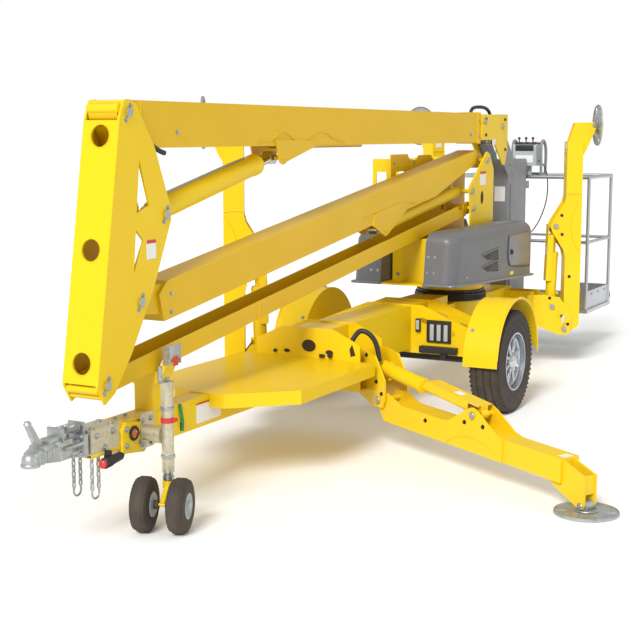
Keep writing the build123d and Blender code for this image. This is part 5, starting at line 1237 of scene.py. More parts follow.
@dataclass
class Outrigger(Assembly):
    """Welds, pins, films and pad ribs of one outrigger, in its own frame."""

    name: str
    pivot: Point
    side: int
    forward: int
    down_degrees: float
    splay_degrees: float = 28.5
    foot: Flat = (0.210, 1.610)
    crest: Flat = (-0.080, 0.820)
    base: Flat = (-0.100, 0.180)
    crest_bead: tuple[Flat, ...] = ((0.118, 0.60), (0.080, 0.66), (0.048, 0.74), (0.040, 0.83),
                                    (0.052, 0.92), (0.082, 1.00), (0.119, 1.045))
    joint_bead: tuple[Flat, ...] = ((0.0, 1.072), (0.060, 1.084), (0.120, 1.072))

    def place(self) -> Matrix:
        """Returns the place of the outrigger's frame: X outward, Y along its pin, Z up."""
        splay = math.radians(self.splay_degrees)
        out = Vector((self.forward * math.sin(splay), self.side * math.cos(splay), 0))
        pin = Vector((0, 0, 1)).cross(out)
        turn = Matrix((out, pin, (0, 0, 1))).transposed().to_4x4()
        return Matrix.Translation(Vector(self.pivot)) @ turn

    def swung(self) -> Matrix:
        """Returns the place of the arm's own frame in the parked pose."""
        return self.place() @ Matrix.Rotation(math.radians(self.down_degrees), 4, "Y")

    def build(self) -> None:
        """Builds one outrigger's fittings."""
        self.shop.dress(YELLOW, *(f"outrigger_{part}_{self.name}"
                                  for part in ("arm", "barrel", "rod")))
        self.shop.dress(GALVANISED, f"outrigger_pad_{self.name}")
        self._arm()
        self._pad()
        self._ears()
        self._gland()
        self._guard()

    def _set_bolts(self, part: str, body: str, place: Matrix, points: tuple[Flat, ...],
                   y: float) -> None:
        """Sets bolts on both faces of a part that lies in the outrigger's frame.

        Args:
            part: arm or ear.
            body: CAD body that carries them.
            place: the part's place in the machine.
            points: the bolts as (x, z).
            y: distance of the faces from the part's middle.
        """
        turn = place.to_3x3()
        spots = [(place @ Vector(spot), turn @ Vector(out), size)
                 for spot, out, size in both_sides(points, y, 0.0085)]
        self.shop.bolts(f"{part}_bolts_{self.name}", spots, DARK, body)

    def _arm(self) -> None:
        """Adds the arm's weld beads, pin ends, nuts and blank film."""
        body, place = f"outrigger_{self.name}", self.swung()
        weld = Shape().beads(self.crest_bead, 0.0712, 0.0042).beads(self.joint_bead, 0.0635, 0.004)
        weld.tube([(-0.004, -0.050, 1.40), (-0.004, 0.050, 1.40)], 0.004, 2)
        self.piece(f"arm_welds_{self.name}", weld.moved(place), YELLOW, body)
        pins = Shape().pins((self.crest,), 0.0755, 0.0835, 0.020, 20)
        pins.pins((self.foot,), 0.0435, 0.0515, 0.018, 20)
        self.piece(f"arm_pin_ends_{self.name}", pins.moved(place), ZINC, body)
        self._set_bolts("arm", body, place,
                        ((-0.030, 0.755), (-0.036, 0.905), (0.035, 0.42)), 0.0705)
        film = Shape().block((-0.0040, -0.0024), (-0.030, 0.030), (1.43, 1.475))
        self.piece(f"arm_film_{self.name}", film.moved(place), FILM, body)

    def _pad(self) -> None:
        """Presses radial ribs and a rolled edge into the foot pad."""
        lean = 90.0 - self.down_degrees if self.down_degrees else 0.0
        ball = Matrix.Translation(Vector((self.foot[0], 0, self.foot[1])))
        place = self.swung() @ ball @ Matrix.Rotation(math.radians(lean), 4, "Y")
        face = Matrix.Translation(Vector((0.0302, 0, 0))) @ Matrix.Rotation(-math.pi / 2, 4, "Y")
        shape = Shape().merge(self.shop.ring(16, 0.092, (0.104, 0.011, 0.005), GALVANISED), face)
        shape.lathe([(0.0, 0.1585), (-0.005, 0.1590), (-0.007, 0.1560), (-0.004, 0.1525),
                     (0.0, 0.1515)], (0.0305, 0, 0), (1, 0, 0), 48, True)
        shape.lathe([(0.0, 0.062), (-0.003, 0.060), (-0.003, 0.052), (0.0, 0.050)],
                    (0.0212, 0, 0), (1, 0, 0), 32, True)
        self.piece(f"pad_ribs_{self.name}", shape.moved(place), GALVANISED,
                   f"outrigger_{self.name}")

    def _ears(self) -> None:
        """Adds pin keepers and bracket bolts to the chassis ears."""
        pins = Shape().pins(((0.0, 0.0), self.base), 0.0965, 0.104, 0.021, 20)
        self.piece(f"ear_pin_ends_{self.name}", pins.moved(self.place()), ZINC)
        self._set_bolts("ear", "chassis", self.place(),
                        ((0.030, 0.040), (-0.020, 0.105), (-0.120, 0.250)), 0.090)

    def _line(self) -> tuple[Vector, Vector, Vector]:
        """Returns the cylinder's base, its direction and the direction out from it."""
        base = Vector((self.base[0], 0, self.base[1]))
        turn = Matrix.Rotation(math.radians(self.down_degrees), 3, "Y")
        run = turn @ Vector((self.crest[0], 0, self.crest[1])) - base
        return base, run, Vector((-run.z, 0, run.x)).normalized()

    def _gland(self) -> None:
        """Adds the barrel's gland and port."""
        base, run, out = self._line()
        run.normalize()
        gland = Shape().lathe([(0.0, 0.042), (0.003, 0.0455), (0.030, 0.0455), (0.033, 0.036),
                               (0.040, 0.034)], base + run * 0.392, run, 28)
        port = base + run * 0.10
        gland.bar(port - out * 0.036, port - out * 0.060, 0.012, 12)
        self.piece(f"outrigger_gland_{self.name}", gland.moved(self.place()), YELLOW,
                   f"outrigger_barrel_{self.name}")

    def _guard(self) -> None:
        """Lays the blank film on the rod's guard."""
        base, run, out = self._line()
        across = Vector((0, 1, 0))
        middle = base + run.normalized() * (run.length - 0.20) + out * 0.0545
        turn = Matrix((run.normalized(), across, out)).transposed().to_4x4()
        film = Shape().block((-0.03, 0.03), (-0.02, 0.02), (0.0, 0.0012))
        film.moved(self.place() @ Matrix.Translation(middle) @ turn)
        self.piece(f"guard_film_{self.name}", film, FILM, f"outrigger_rod_{self.name}")


@dataclass
class Tongue(Assembly):
    """Coupler latch, springs, bolts, lamps, chain hooks and films on the tongue."""

    ball_x: float = -3.900
    beam_face: float = 0.0600
    lamp: Flat = (-3.262, 0.452)
    lamp_face: float = 0.078
    plug_y: float = -0.086
    spring_z: float = 0.545
    springs: tuple[tuple[float, float, float, float], ...] = (
        (-0.020, -3.69, -3.60, 0.015), (0.022, -3.70, -3.61, 0.013))
    hook: tuple[Flat, ...] = ((-3.548, 0.244), (-3.552, 0.226), (-3.545, 0.206), (-3.524, 0.198),
                              (-3.503, 0.206), (-3.497, 0.226), (-3.500, 0.244))
    shackle: tuple[Flat, ...] = ((-3.548, 0.395), (-3.548, 0.418), (-3.524, 0.430),
                                 (-3.500, 0.418), (-3.500, 0.395))

    def build(self) -> None:
        """Builds the tongue's fittings."""
        self.shop.dress(YELLOW, "tongue_beam", "boom_rest", "front_deck")
        self.shop.dress(STRAW, "coupler_sleeve", "jack_bracket")
        self.shop.dress(GALVANISED, "coupler_head")
        self.shop.dress(ZINC, "safety_chains")
        self.shop.dress(PAD, "rest_pads")
        self._latch()
        self._springs()
        self._lamps()
        self._beam()
        self._rest()
        self._plug()

    def _latch(self) -> None:
        """Adds the coupler's latch bars, ribs and handle knob."""
        head = Shape()
        for y in (-0.046, 0.046):
            head.bar((-3.72, y, 0.470), (-3.57, y, 0.470), 0.009, 14)
            head.bar((-3.66, y, 0.425), (-3.57, y, 0.425), 0.007, 14)
        head.bar((-3.845, -0.046, 0.498), (-3.845, 0.046, 0.498), 0.012, 18, 0.002)
        head.bar((-3.76, -0.050, 0.500), (-3.76, 0.050, 0.500), 0.014, 18, 0.002)
        head.block((-3.80, -3.70), (-0.030, 0.030), (0.505, 0.530), 0.006)
        head.lathe([(0.0, 0.0), (0.004, 0.014), (0.016, 0.018), (0.026, 0.012), (0.030, 0.0)],
                   (-3.9095, 0, 0.602), (-0.15, 0, 1), 20)
        head.lathe([(0.0, 0.040), (0.004, 0.043), (0.012, 0.043), (0.016, 0.040)],
                   (self.ball_x, 0, 0.4275), (0, 0, 1), 36)
        for x in (-3.865, -3.830, -3.795):
            head.block((x, x + 0.010), (-0.040, 0.040), (0.432, 0.492), 0.002)
        self.piece("coupler_latch", head, GALVANISED)

    def _springs(self) -> None:
        """Winds the latch's springs on their spindles, and bolts the sleeve."""
        spring = Shape()
        steps, total = 10, 70
        for y, x0, x1, radius in self.springs:
            turns = [2 * math.pi * n / steps for n in range(total + 1)]
            spring.tube([(x0 + (x1 - x0) * n / total, y + radius * math.cos(angle),
                          self.spring_z + radius * math.sin(angle))
                         for n, angle in enumerate(turns)], 0.0026, 3, 2)
            spring.bar((-3.72, y, self.spring_z), (-3.585, y, self.spring_z), 0.006, 12)
        for x in ((-3.735, -3.722), (-3.590, -3.578)):
            spring.block(x, (-0.045, 0.045), (0.500, 0.566), 0.003)
        self.piece("coupler_springs", spring, ZINC)
        spots = both_sides(((-3.52, 0.490), (-3.40, 0.490), (-3.46, 0.425)), 0.063, 0.011)
        spots += [((x, y, 0.520), (0, 0, 1), 0.010)
                  for x in (-3.52, -3.38) for y in (-0.035, 0.035)]
        spots += [((-3.606, y, z), (-1, 0, 0), 0.009)
                  for y in (-0.040, 0.040) for z in (0.424, 0.497)]
        self.shop.bolts("coupler_bolts", spots)
        lip = Shape().block((-3.562, -3.345), (-0.066, 0.066), (0.392, 0.408), 0.003)
        self.piece("sleeve_skirt", lip, YELLOW)

    def _lamps(self) -> None:
        """Fits the marker lamps in their grommets."""
        grommet, lens = Shape(), Shape()
        for side in (NEAR, FAR):
            middle = (self.lamp[0], side * self.lamp_face, self.lamp[1])
            grommet.lathe([(0.0, 0.034), (0.006, 0.036), (0.010, 0.032), (0.010, 0.024),
                           (0.0, 0.022)], middle, (0, side, 0), 36, True)
            lens.lathe([(0.0, 0.024), (0.006, 0.024), (0.010, 0.018), (0.012, 0.0)], middle,
                       (0, side, 0), 28)
        self.piece("marker_grommets", grommet, NYLON)
        self.piece("marker_lenses", lens, AMBER_LENS)

    def _beam(self) -> None:
        """Adds the beam's blank film, green sleeve, slots, bolts and chain hooks."""
        on_face = (-self.beam_face - 0.0012, -self.beam_face)
        self.film("tongue_film", (-2.70, -2.47), on_face, (0.380, 0.475))
        self.film("tongue_film_stripe", (-2.70, -2.47), (-0.0618, -0.0610), (0.478, 0.486),
                  finish=RED_FILM)
        sleeve = Shape().tube([(-2.855, -0.066, 0.515), (-2.850, -0.074, 0.46),
                               (-2.835, -0.070, 0.40), (-2.835, -0.064, 0.375)], 0.008, 3, 8)
        self.piece("tongue_green_sleeve", sleeve, GREEN)
        slots = Shape()
        for x in (-2.995, -2.835):
            slots.block((x - 0.012, x + 0.012), on_face, (0.375, 0.418))
        self.piece("tongue_slots", slots, HOLLOW)
        spots = both_sides(((-3.315, 0.480), (-3.315, 0.400), (-3.205, 0.400)), 0.0785, 0.010)
        spots += [((x, 0.0, 0.522), (0, 0, 1), 0.009) for x in (-3.30, -3.22)]
        self.shop.bolts("tongue_bolts", spots)
        self.piece("chain_hooks", Shape().beads(self.hook, 0.052, 0.0052)
                   .beads(self.shackle, 0.052, 0.006), ZINC)

    def _rest(self) -> None:
        """Bolts the pads of the boom rest, guides them and stiffens its post."""
        spots = [((x, side * 0.137, 0.772), (0, side, -0.1), 0.008)
                 for side in (NEAR, FAR) for x in (-3.045, -2.995)]
        self.shop.bolts("rest_bolts", spots)
        web, guide, tags = Shape(), Shape(), Shape()
        for side in (NEAR, FAR):
            web.plate([(-2.976, 0.515), (-2.930, 0.515), (-2.976, 0.640)],
                      (side * 0.030, side * 0.038), 0.001)
            for x in ((-3.070, -3.062), (-2.978, -2.970)):
                guide.block(x, (side * 0.118, side * 0.158), (0.748, 0.838), 0.003)
            guide.block((-3.070, -2.970), (side * 0.150, side * 0.156), (0.776, 0.846), 0.002)
            tags.block((-3.040, -3.000), (side * 0.156, side * 0.160), (0.742, 0.786), 0.001)
        self.piece("rest_gussets", web, YELLOW)
        self.piece("rest_guides", guide, GALVANISED)
        self.piece("rest_red_tags", tags, RED_FILM)

    def _plug(self) -> None:
        """Holds the towing plug under the sleeve."""
        plug = Shape().lathe([(0.0, 0.010), (0.018, 0.020), (0.090, 0.023), (0.100, 0.026),
                              (0.140, 0.026), (0.146, 0.020)], (-3.360, self.plug_y, 0.372),
                             (-1, 0, -0.08), 24)
        plug.block((-3.470, -3.440), (self.plug_y, -0.060), (0.372, 0.410), 0.003)
        self.piece("towing_plug", plug, NYLON)
        end = Shape().lathe([(0.0, 0.020), (0.012, 0.020), (0.016, 0.015)],
                            (-3.505, self.plug_y, 0.3605), (-1, 0, -0.08), 20)
        self.piece("towing_plug_end", end, RED_FILM)


@dataclass
class Jack(Assembly):
    """Crank, collars, red clamp and bracket bolts of the jack, and its wheels' rims and tread."""

    x: float = -3.176
    y: float = -0.212
    trail: float = 0.100
    turn_degrees: float = 17.0
    wheel_radius: float = 0.130
    tread_blocks: int = 36
    middle_out: float = 0.087
    rim_out: float = 0.1165
    inner_out: float = 0.0445

    def build(self) -> None:
        """Builds the jack's fittings."""
        self.shop.dress(STRAW, "jack_outer_tube")
        self.shop.dress(ZINC, "jack_inner_leg")
        self.shop.dress(YELLOW, "jack_fork")
        self.shop.dress(RUBBER, "jack_twin_wheels")
        self._crank()
        spots = [((self.x + along, -0.087, up), (0, -1, 0), 0.010)
                 for along in (-0.020, 0.045) for up in (0.385, 0.500)]
        self.shop.bolts("jack_bracket_bolts", spots)
        collar = Shape().lathe([(0.0, 0.0235), (0.002, 0.027), (0.020, 0.027), (0.022, 0.0235)],
                               (self.x, self.y, 0.224), (0, 0, 1), 28)
        self.piece("jack_leg_collar", collar, ZINC, "jack_leg")
        self._wheels()

    def _crank(self) -> None:
        """Adds the crank with the upright's collars, and the red clamp with its grip."""
        x, y = self.x, self.y
        crank = Shape().bar((x, y, 0.698), (x, y, 0.716), 0.012, 16)
        crank.tube([(x, y, 0.706), (x - 0.05, y - 0.02, 0.708), (x - 0.11, y - 0.04, 0.712),
                    (x - 0.115, y - 0.042, 0.725)], 0.007)
        crank.bar((x - 0.115, y - 0.042, 0.720), (x - 0.115, y - 0.042, 0.790), 0.012, 14, 0.003)
        for z in (0.330, 0.560):
            crank.lathe([(0.0, 0.029), (0.002, 0.034), (0.016, 0.034), (0.018, 0.029)],
                        (x, y, z), (0, 0, 1), 28)
        self.piece("jack_crank", crank, ZINC, "jack_upright")
        clamp = Shape().lathe([(0.0, 0.0295), (0.002, 0.0325), (0.024, 0.0325), (0.026, 0.0295)],
                              (x, y, 0.500), (0, 0, 1), 28)
        clamp.bar((x, y - 0.030, 0.512), (x, y - 0.052, 0.520), 0.010, 14)
        self.piece("jack_red_grip", clamp, RED_FILM, "jack_upright")

    def _wheels(self) -> None:
        """Sets rims and tread blocks on the jack's twin wheels."""
        turn = math.radians(self.turn_degrees)
        middle = Vector((self.x - math.cos(turn) * self.trail, self.y - math.sin(turn) * self.trail,
                         self.wheel_radius))
        axle = Vector((math.sin(turn), -math.cos(turn), 0))
        upright = axle.to_track_quat("Z", "Y").to_matrix().to_4x4()
        rows = [(0.002, (0.003, 0.015, 0.010), 0.25, 0.08, -0.016),
                (0.002, (0.003, 0.015, 0.010), 0.0, 0.0, 0.0),
                (0.002, (0.003, 0.015, 0.010), 0.25, 0.08, 0.016),
                (0.0115, (0.008, 0.012, 0.008), 0.0, 0.0, -0.031),
                (0.0115, (0.008, 0.012, 0.008), 0.0, 0.0, 0.031)]
        rims, tread = Shape(), Shape()
        for side in (-1, 1):
            out = axle * side
            rims.lathe([(0.0, 0.0612), (0.012, 0.0615), (0.0135, 0.056), (0.004, 0.048),
                        (-0.001, 0.030), (0.010, 0.022), (0.020, 0.019), (0.022, 0.0)],
                       middle + out * self.rim_out, out, 36)
            rims.lathe([(0.0, 0.060), (0.004, 0.056), (0.002, 0.040), (0.006, 0.026)],
                       middle + out * self.inner_out, -out, 32)
            place = Matrix.Translation(middle + out * self.middle_out) @ upright
            for sunk, block, slant, start, height in rows:
                tread.merge(self.shop.ring(self.tread_blocks, self.wheel_radius - sunk, block,
                                           RUBBER, slant, start, height), place)
        self.piece("jack_wheel_rims", rims, ABS, "jack_wheels")
        self.piece("jack_wheel_tread", tread, RUBBER, "jack_wheels", 20)


@dataclass
class Chassis(Assembly):
    """Openings, valve box, hose, reflectors, slewing teeth, bolts and films of the welded frame."""

    plate_x: float = -1.4005
    openings: tuple[tuple[Flat, Flat], ...] = (
        ((0.138, 0.552), (0.024, 0.014)), ((-0.012, 0.592), (0.050, 0.040)),
        ((-0.150, 0.560), (0.028, 0.018)))
    notch: tuple[Flat, ...] = ((-0.300, 0.620), (-0.322, 0.556), (-0.290, 0.545), (-0.282, 0.590))
    mast_pins: tuple[Flat, ...] = ((1.270, 1.642), (0.996, 1.294), (0.960, 1.420))
    slew_x: float = 0.860
    slew_bolts: int = 24
    slew_circle: float = 0.252

    def build(self) -> None:
        """Builds the frame's fittings."""
        self.shop.dress(YELLOW, "chassis_frame", "turntable", "side_rack", "outrigger_ears")
        self.shop.dress(DARK, "axle_beam", "slew_ring")
        self._openings()
        self._boxes()
        self._mast()
        self._ring()

    def _openings(self) -> None:
        """Shows the cross plate's shadowed openings with their edges, its fittings and the hose."""
        dark, edge = Shape(), Shape()
        x = self.plate_x - 0.0008
        for middle, half in self.openings:
            ring = [(x, y, z) for y, z in oval(middle, half)]
            dark.face(ring)
            edge.tube(ring + ring[:2], 0.0028, 3, 2)
        dark.face([(x, y, z) for y, z in self.notch])
        self.piece("cross_plate_openings", dark, HOLLOW)
        self.piece("cross_plate_edges", edge, YELLOW)
        knob = Shape()
        knob.bar((-1.401, -0.160, 0.545), (-1.425, -0.160, 0.545), 0.014, 18, 0.003)
        knob.bar((-1.401, 0.215, 0.548), (-1.418, 0.215, 0.548), 0.010, 14, 0.002)
        knob.block((-1.412, -1.401), (-0.120, -0.085), (0.528, 0.548), 0.003)
        self.piece("cross_plate_fittings", knob, NYLON)
        Hose(self.shop, "deck_hose", "chassis",
             ((-1.386, -0.270, 0.600), (-1.352, -0.305, 0.690), (-1.345, -0.350, 0.700),
              (-1.335, -0.400, 0.668), (-1.325, -0.432, 0.600), (-1.322, -0.440, 0.520)),
             0.030).build()

    def _boxes(self) -> None:
        """Adds the valve box with its pale strips and its tray, the rear film and reflectors."""
        box = Shape().block((-0.165, -0.1505), (-0.420, -0.245), (0.455, 0.605), 0.004)
        box.block((-0.200, -0.1505), (-0.470, -0.205), (0.385, 0.430), 0.004)
        box.block((-0.190, -0.1505), (-0.395, -0.355), (0.350, 0.388), 0.004)
        box.block((-0.170, -0.1505), (-0.200, -0.165), (0.520, 0.610), 0.004)
        self.piece("valve_box", box, BLACK)
        strips = Shape()
        for y in (-0.385, -0.335, -0.285):
            strips.block((-0.169, -0.164), (y - 0.014, y + 0.014), (0.468, 0.578), 0.002)
        strips.block((-0.173, -0.169), (-0.194, -0.170), (0.535, 0.600), 0.002)
        self.piece("valve_strips", strips, ABS)
        self.film("rear_film", (1.724, 1.804), (-0.6012, -0.6000), (0.36, 0.42))
        lens = Shape()
        for side in (NEAR, FAR):
            lens.block((1.872, 1.890), (side * 0.200, side * 0.330), (0.520, 0.580), 0.005)
        self.piece("rear_reflectors", lens, RED_LENS)

    def _mast(self) -> None:
        """Adds the mast's oval openings, blank films, pin ends and bolts, and the rack's bolts."""
        dark = Shape()
        for side in (NEAR, FAR):
            dark.face([(x, side * 0.1245, z) for x, z in oval((1.165, 1.365), (0.028, 0.050))])
        self.piece("mast_openings", dark, HOLLOW)
        self.film("mast_film", (1.12, 1.24), (-0.1254, -0.1240), (1.46, 1.54))
        self.film("mast_film_stripe", (1.12, 1.24), (-0.1260, -0.1250), (1.545, 1.562),
                  finish=RED_FILM)
        self.piece("mast_pin_ends", Shape().pins(self.mast_pins, 0.130, 0.136, 0.022), ZINC)
        around = tuple((x + turn, z + turn * 0.4) for x, z in self.mast_pins
                       for turn in (-0.030, 0.030))
        spots = both_sides(around, 0.124, 0.0085)
        spots += both_sides(((0.25, 0.875), (0.75, 0.875), (1.30, 0.875)), 0.152, 0.009)
        spots += [((0.150, y, z), (-1, 0, 0), 0.009) for y in (-0.11, 0.11) for z in (0.87, 1.07)]
        self.shop.bolts("mast_bolts", spots)
        self.shop.bolts("rack_bolts", [((x, 0.150, z), (0, -1, 0), 0.008)
                                       for x in (0.16, 0.50, 0.86, 1.14) for z in (1.25, 1.64)])

    def _ring(self) -> None:
        """Rings the slewing bearing with bolts and its toothed edge."""
        teeth = self.shop.ring(96, 0.2625, (0.007, 0.009, 0.030), DARK)
        shape = Shape().merge(teeth, Matrix.Translation(Vector((self.slew_x, 0, 0.655))))
        shape.lathe([(0.0, 0.244), (0.004, 0.250), (0.020, 0.250), (0.024, 0.244)],
                    (self.slew_x, 0, 0.686), (0, 0, 1), 64)
        self.piece("slew_teeth", shape, DARK, smooth_degrees=30)
        turns = [2 * math.pi * n / self.slew_bolts for n in range(self.slew_bolts)]
        spots = [((self.slew_x + self.slew_circle * math.cos(turn),
                   self.slew_circle * math.sin(turn), 0.684), (0, 0, 1), 0.006) for turn in turns]
        self.shop.bolts("slew_bolts", spots, DARK)


@dataclass
class Platform(Assembly):
    """Chequered floor, lamps, console, hoop, cable, column trim and gate fittings."""

    front_x: float = 2.446
    rear_x: float = 3.124
    half: float = 0.600
    floor_z: float = 0.380
    lamp_y: float = 0.560
    hoop_y: Flat = (-0.165, 0.085)
    gate_reach: float = 0.2632
    hoop: tuple[Flat, ...] = (
        (2.446, 1.490), (2.440, 1.600), (2.430, 1.745), (2.470, 1.790), (2.530, 1.780),
        (2.570, 1.700), (2.560, 1.560), (2.552, 1.505))

    def build(self) -> None:
        """Builds the platform's fittings."""
        self.shop.dress(GREY, "platform_column")
        self.shop.dress(TUBE, "platform_basket", "platform_gate")
        self.shop.dress(ABS, "platform_console")
        self._floor()
        self._lamps()
        self._console()
        self._hoop()
        self._column()
        self._gate()

    def _floor(self) -> None:
        """Presses the chequered bars into the floor."""
        length, width = self.rear_x - self.front_x - 0.06, 2 * self.half - 0.08
        bars = self.shop.repeats.run(self.shop.repeats.grid_tree, bpy.data.meshes.new("floor"), {
            "Size X": length, "Size Y": width, "Count X": 17, "Count Y": 29,
            "Bar": (0.030, 0.007, 0.0022), "Material": self.shop.material(TUBE)})
        middle = Vector(((self.front_x + self.rear_x) / 2, 0, self.floor_z + 0.0005))
        bars.transform(Matrix.Translation(middle))
        self.shop.hang("floor_chequer", bars, "platform", TUBE)

    def _lamps(self) -> None:
        """Seats the tail lamps, and bolts the toe boards."""
        lens, seat = Shape(), Shape()
        x = self.rear_x + 0.019
        for side in (NEAR, FAR):
            y = side * self.lamp_y
            seat.lathe([(0.0, 0.036), (0.008, 0.038), (0.012, 0.034), (0.012, 0.028), (0.0, 0.027)],
                       (x, y, 0.430), (1, 0, 0), 32)
            seat.block((self.rear_x + 0.0035, x), (y - 0.036, y + 0.036), (0.392, 0.470), 0.003)
            lens.lathe([(0.0, 0.027), (0.010, 0.027), (0.016, 0.020), (0.018, 0.0)],
                       (x, y, 0.430), (1, 0, 0), 28)
        self.piece("tail_lamp_seats", seat, NYLON, "platform")
        self.piece("tail_lamp_lenses", lens, RED_LENS, "platform")
        toe = both_sides(((2.60, 0.50), (2.80, 0.50), (3.00, 0.50)), 0.584, 0.008)
        self.shop.bolts("toe_board_bolts", toe, body="platform")

    def _console(self) -> None:
        """Fits the control box's black top, its sticks and its buttons."""
        top = Shape().block((2.380, 2.514), (-0.132, 0.052), (1.7575, 1.7660), 0.003)
        top.block((2.3705, 2.3735), (-0.120, 0.040), (1.700, 1.750), 0.002)
        self.piece("console_top", top, NYLON, "platform")
        knobs, sticks = Shape(), Shape()
        for y in (-0.10, -0.04, 0.02):
            sticks.bar((2.410, y, 1.764), (2.410, y, 1.800), 0.005, 10)
            sticks.lathe([(0.0, 0.0), (0.003, 0.009), (0.012, 0.012), (0.020, 0.009), (0.024, 0.0)],
                         (2.410, y, 1.794), (0, 0, 1), 16)
            knobs.bar((2.470, y, 1.764), (2.470, y, 1.776), 0.012, 18, 0.002)
        self.piece("console_sticks", sticks, NYLON, "platform")
        self.piece("console_buttons", knobs, RED_FILM, "platform")

    def _hoop(self) -> None:
        """Bends the grey hoop round the console, and adds the blank film and the cable."""
        low, high = self.hoop_y
        hoop = Shape()
        for y in self.hoop_y:
            hoop.tube([(x, y, z) for x, z in self.hoop], 0.0125, 3, 8)
        for x, z in ((2.545, 1.765), (2.552, 1.508)):
            hoop.bar((x, low, z), (x, high, z), 0.011, 14)
        for y in self.hoop_y:
            hoop.block((2.440, 2.556), (y - 0.007, y + 0.007), (1.500, 1.516), 0.003)
        self.piece("console_hoop", hoop, GREY, "platform")
        self.film("console_film", (2.3702, 2.3716), (-0.115, 0.035), (1.605, 1.665), "platform")
        Hose(self.shop, "console_cable", "platform",
             ((2.452, -0.142, 1.620), (2.452, -0.190, 1.590), (2.450, -0.225, 1.480),
              (2.448, -0.225, 1.300), (2.446, -0.170, 1.130), (2.446, -0.100, 1.020),
              (2.446, -0.030, 0.960)), 0.010).build()

    def _column(self) -> None:
        """Adds the grey column's seams, bolts and blank film."""
        seam = Shape().beads(((1.902, 1.50), (1.902, 0.45)), 0.0682, 0.003, 2)
        for side in (NEAR, FAR):
            seam.block((1.96, 2.02), (side * 0.0685, side * 0.0760), (0.52, 1.44), 0.002)
        self.piece("column_ribs", seam, GREY, "platform")
        around = tuple((x, z) for z in (0.48, 0.945, 1.42) for x in (2.375, 2.405))
        spots = both_sides(around, 0.068, 0.009)
        spots += both_sides(((1.93, 1.60), (1.99, 1.54)), 0.076, 0.010)
        self.shop.bolts("column_bolts", spots, body="platform")
        self.film("column_film", (1.8985, 1.9000), (-0.045, 0.045), (1.30, 1.42), "platform")

    def _gate(self) -> None:
        """Fits the gate's hinges and spring latch."""
        x, reach = self.rear_x, self.gate_reach
        hinge = Shape()
        for z in (0.60, 1.25):
            hinge.lathe([(0.0, 0.0128), (0.001, 0.0165), (0.029, 0.0165), (0.030, 0.0128)],
                        (x, -reach, z), (0, 0, 1), 24)
        hinge.block((x - 0.010, x + 0.022), (reach - 0.060, reach - 0.012), (1.20, 1.26), 0.004)
        self.piece("gate_hinges", hinge, ZINC, "gate")
        knob = Shape().bar((x + 0.022, reach - 0.036, 1.23), (x + 0.040, reach - 0.036, 1.23),
                           0.013, 18, 0.004)
        self.piece("gate_latch_knob", knob, NYLON, "gate")


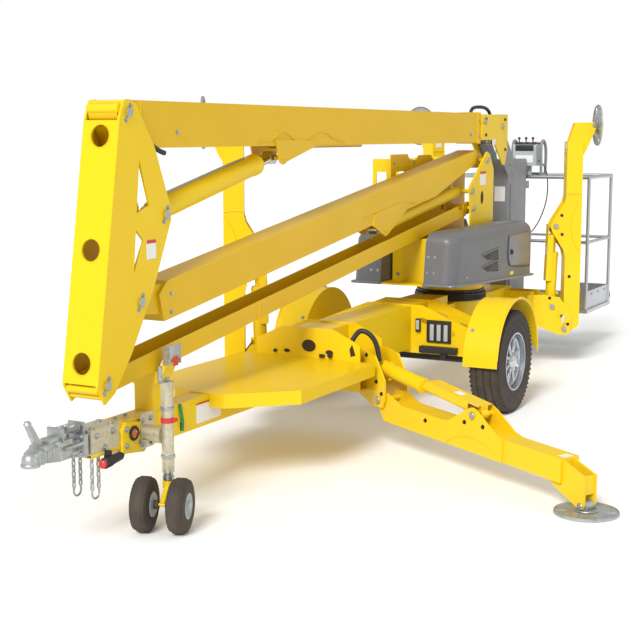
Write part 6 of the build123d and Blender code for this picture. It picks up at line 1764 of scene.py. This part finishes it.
@dataclass
class Studio:
    """Camera, soft lights, pale floor and white surroundings."""

    shift: Vector
    eye: Point = (-8.082, -3.605, 1.841)
    yaw_degrees: float = 27.77
    pitch_degrees: float = -8.211
    lens_mm: float = 72.47
    floor_half: float = 60.0

    def camera(self) -> None:
        """Sets the camera where the photograph was taken from."""
        yaw, pitch = math.radians(self.yaw_degrees), math.radians(self.pitch_degrees)
        look = Vector((math.cos(yaw) * math.cos(pitch), math.sin(yaw) * math.cos(pitch),
                       math.sin(pitch)))
        data = bpy.data.cameras.new("camera")
        data.lens = self.lens_mm
        data.sensor_width = 36.0
        data.clip_end = 200.0
        camera = bpy.data.objects.new("camera", data)
        camera.location = Vector(self.eye) + self.shift
        camera.rotation_euler = look.to_track_quat("-Z", "Y").to_euler()
        bpy.context.scene.collection.objects.link(camera)
        bpy.context.scene.camera = camera

    def light(self) -> None:
        """Hangs one large soft key light in front and above, and a weak fill behind."""
        for name, energy, size, direction in (("key", 3.0, 0.35, (0.82, 0.10, -0.62)),
                                              ("fill", 0.35, 1.2, (-0.25, 0.90, -0.35))):
            data = bpy.data.lights.new(name, "SUN")
            data.energy = energy
            data.angle = size
            lamp = bpy.data.objects.new(name, data)
            lamp.rotation_euler = Vector(direction).to_track_quat("-Z", "Y").to_euler()
            bpy.context.scene.collection.objects.link(lamp)

    def surroundings(self) -> None:
        """Makes the world plain for lighting, and white where the camera sees it directly."""
        world = bpy.data.worlds.new("studio")
        bpy.context.scene.world = world
        world.use_nodes = True
        tree = world.node_tree
        tree.nodes.clear()
        soft = add_node(tree, "ShaderNodeBackground",
                        {"Color": linear("#FBFBFA"), "Strength": 0.66})
        white = add_node(tree, "ShaderNodeBackground", {"Color": (1, 1, 1, 1), "Strength": 1.0})
        path = add_node(tree, "ShaderNodeLightPath")
        mixed = add_node(tree, "ShaderNodeMixShader",
                         links={0: path.outputs["Is Camera Ray"], 1: soft.outputs[0],
                                2: white.outputs[0]})
        add_node(tree, "ShaderNodeOutputWorld", links={"Surface": mixed.outputs[0]})

    def floor(self) -> None:
        """Lays the pale floor, white away from the machine's own shadow."""
        h = self.floor_half
        mesh = bpy.data.meshes.new("floor")
        mesh.from_pydata([(-h, -h, -0.001), (h, -h, -0.001), (h, h, -0.001), (-h, h, -0.001)], [],
                         [(0, 1, 2, 3)])
        made = bpy.data.materials.new("pale_floor")
        made.use_nodes = True
        shader = made.node_tree.nodes["Principled BSDF"]
        shader.inputs["Base Color"].default_value = linear("#F7F7F6")
        shader.inputs["Roughness"].default_value = 0.9
        mesh.materials.append(made)
        piece = bpy.data.objects.new("floor", mesh)
        bpy.context.scene.collection.objects.link(piece)

    def build(self) -> None:
        """Builds the studio."""
        self.camera()
        self.light()
        self.surroundings()
        self.floor()
        bpy.context.scene.view_settings.view_transform = "Standard"


def outriggers(shop: Workshop) -> list[Outrigger]:
    """Returns the four outriggers as they stand in the parked pose."""
    return [Outrigger(shop, "near_front", (-1.290, -0.500, 0.300), NEAR, -1, 91.8),
            Outrigger(shop, "far_front", (-1.290, 0.500, 0.300), FAR, -1, 0.0),
            Outrigger(shop, "near_rear", (1.905, -0.545, 0.300), NEAR, 1, 0.0),
            Outrigger(shop, "far_rear", (1.905, 0.545, 0.300), FAR, 1, 0.0)]


def main() -> None:
    """Builds the studio first, then each sub-assembly with its hoses."""
    logging.basicConfig(level=logging.INFO, format="%(message)s")
    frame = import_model()
    low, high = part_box("axle_beam")
    shift = Vector(((low.x + high.x) / 2, (low.y + high.y) / 2, 0.0))
    shop = Workshop(shift, frame["nodes"])
    Studio(shift).build()
    for assembly in (RoadWheels(shop), Mudguards(shop), Covers(shop), Knuckle(shop), Booms(shop),
                     *outriggers(shop), Tongue(shop), Jack(shop), Chassis(shop), Platform(shop)):
        LOG.info("building %s", type(assembly).__name__)
        assembly.build()
    LOG.info("%d pieces added", shop.count)


if __name__ == "__main__":
    main()
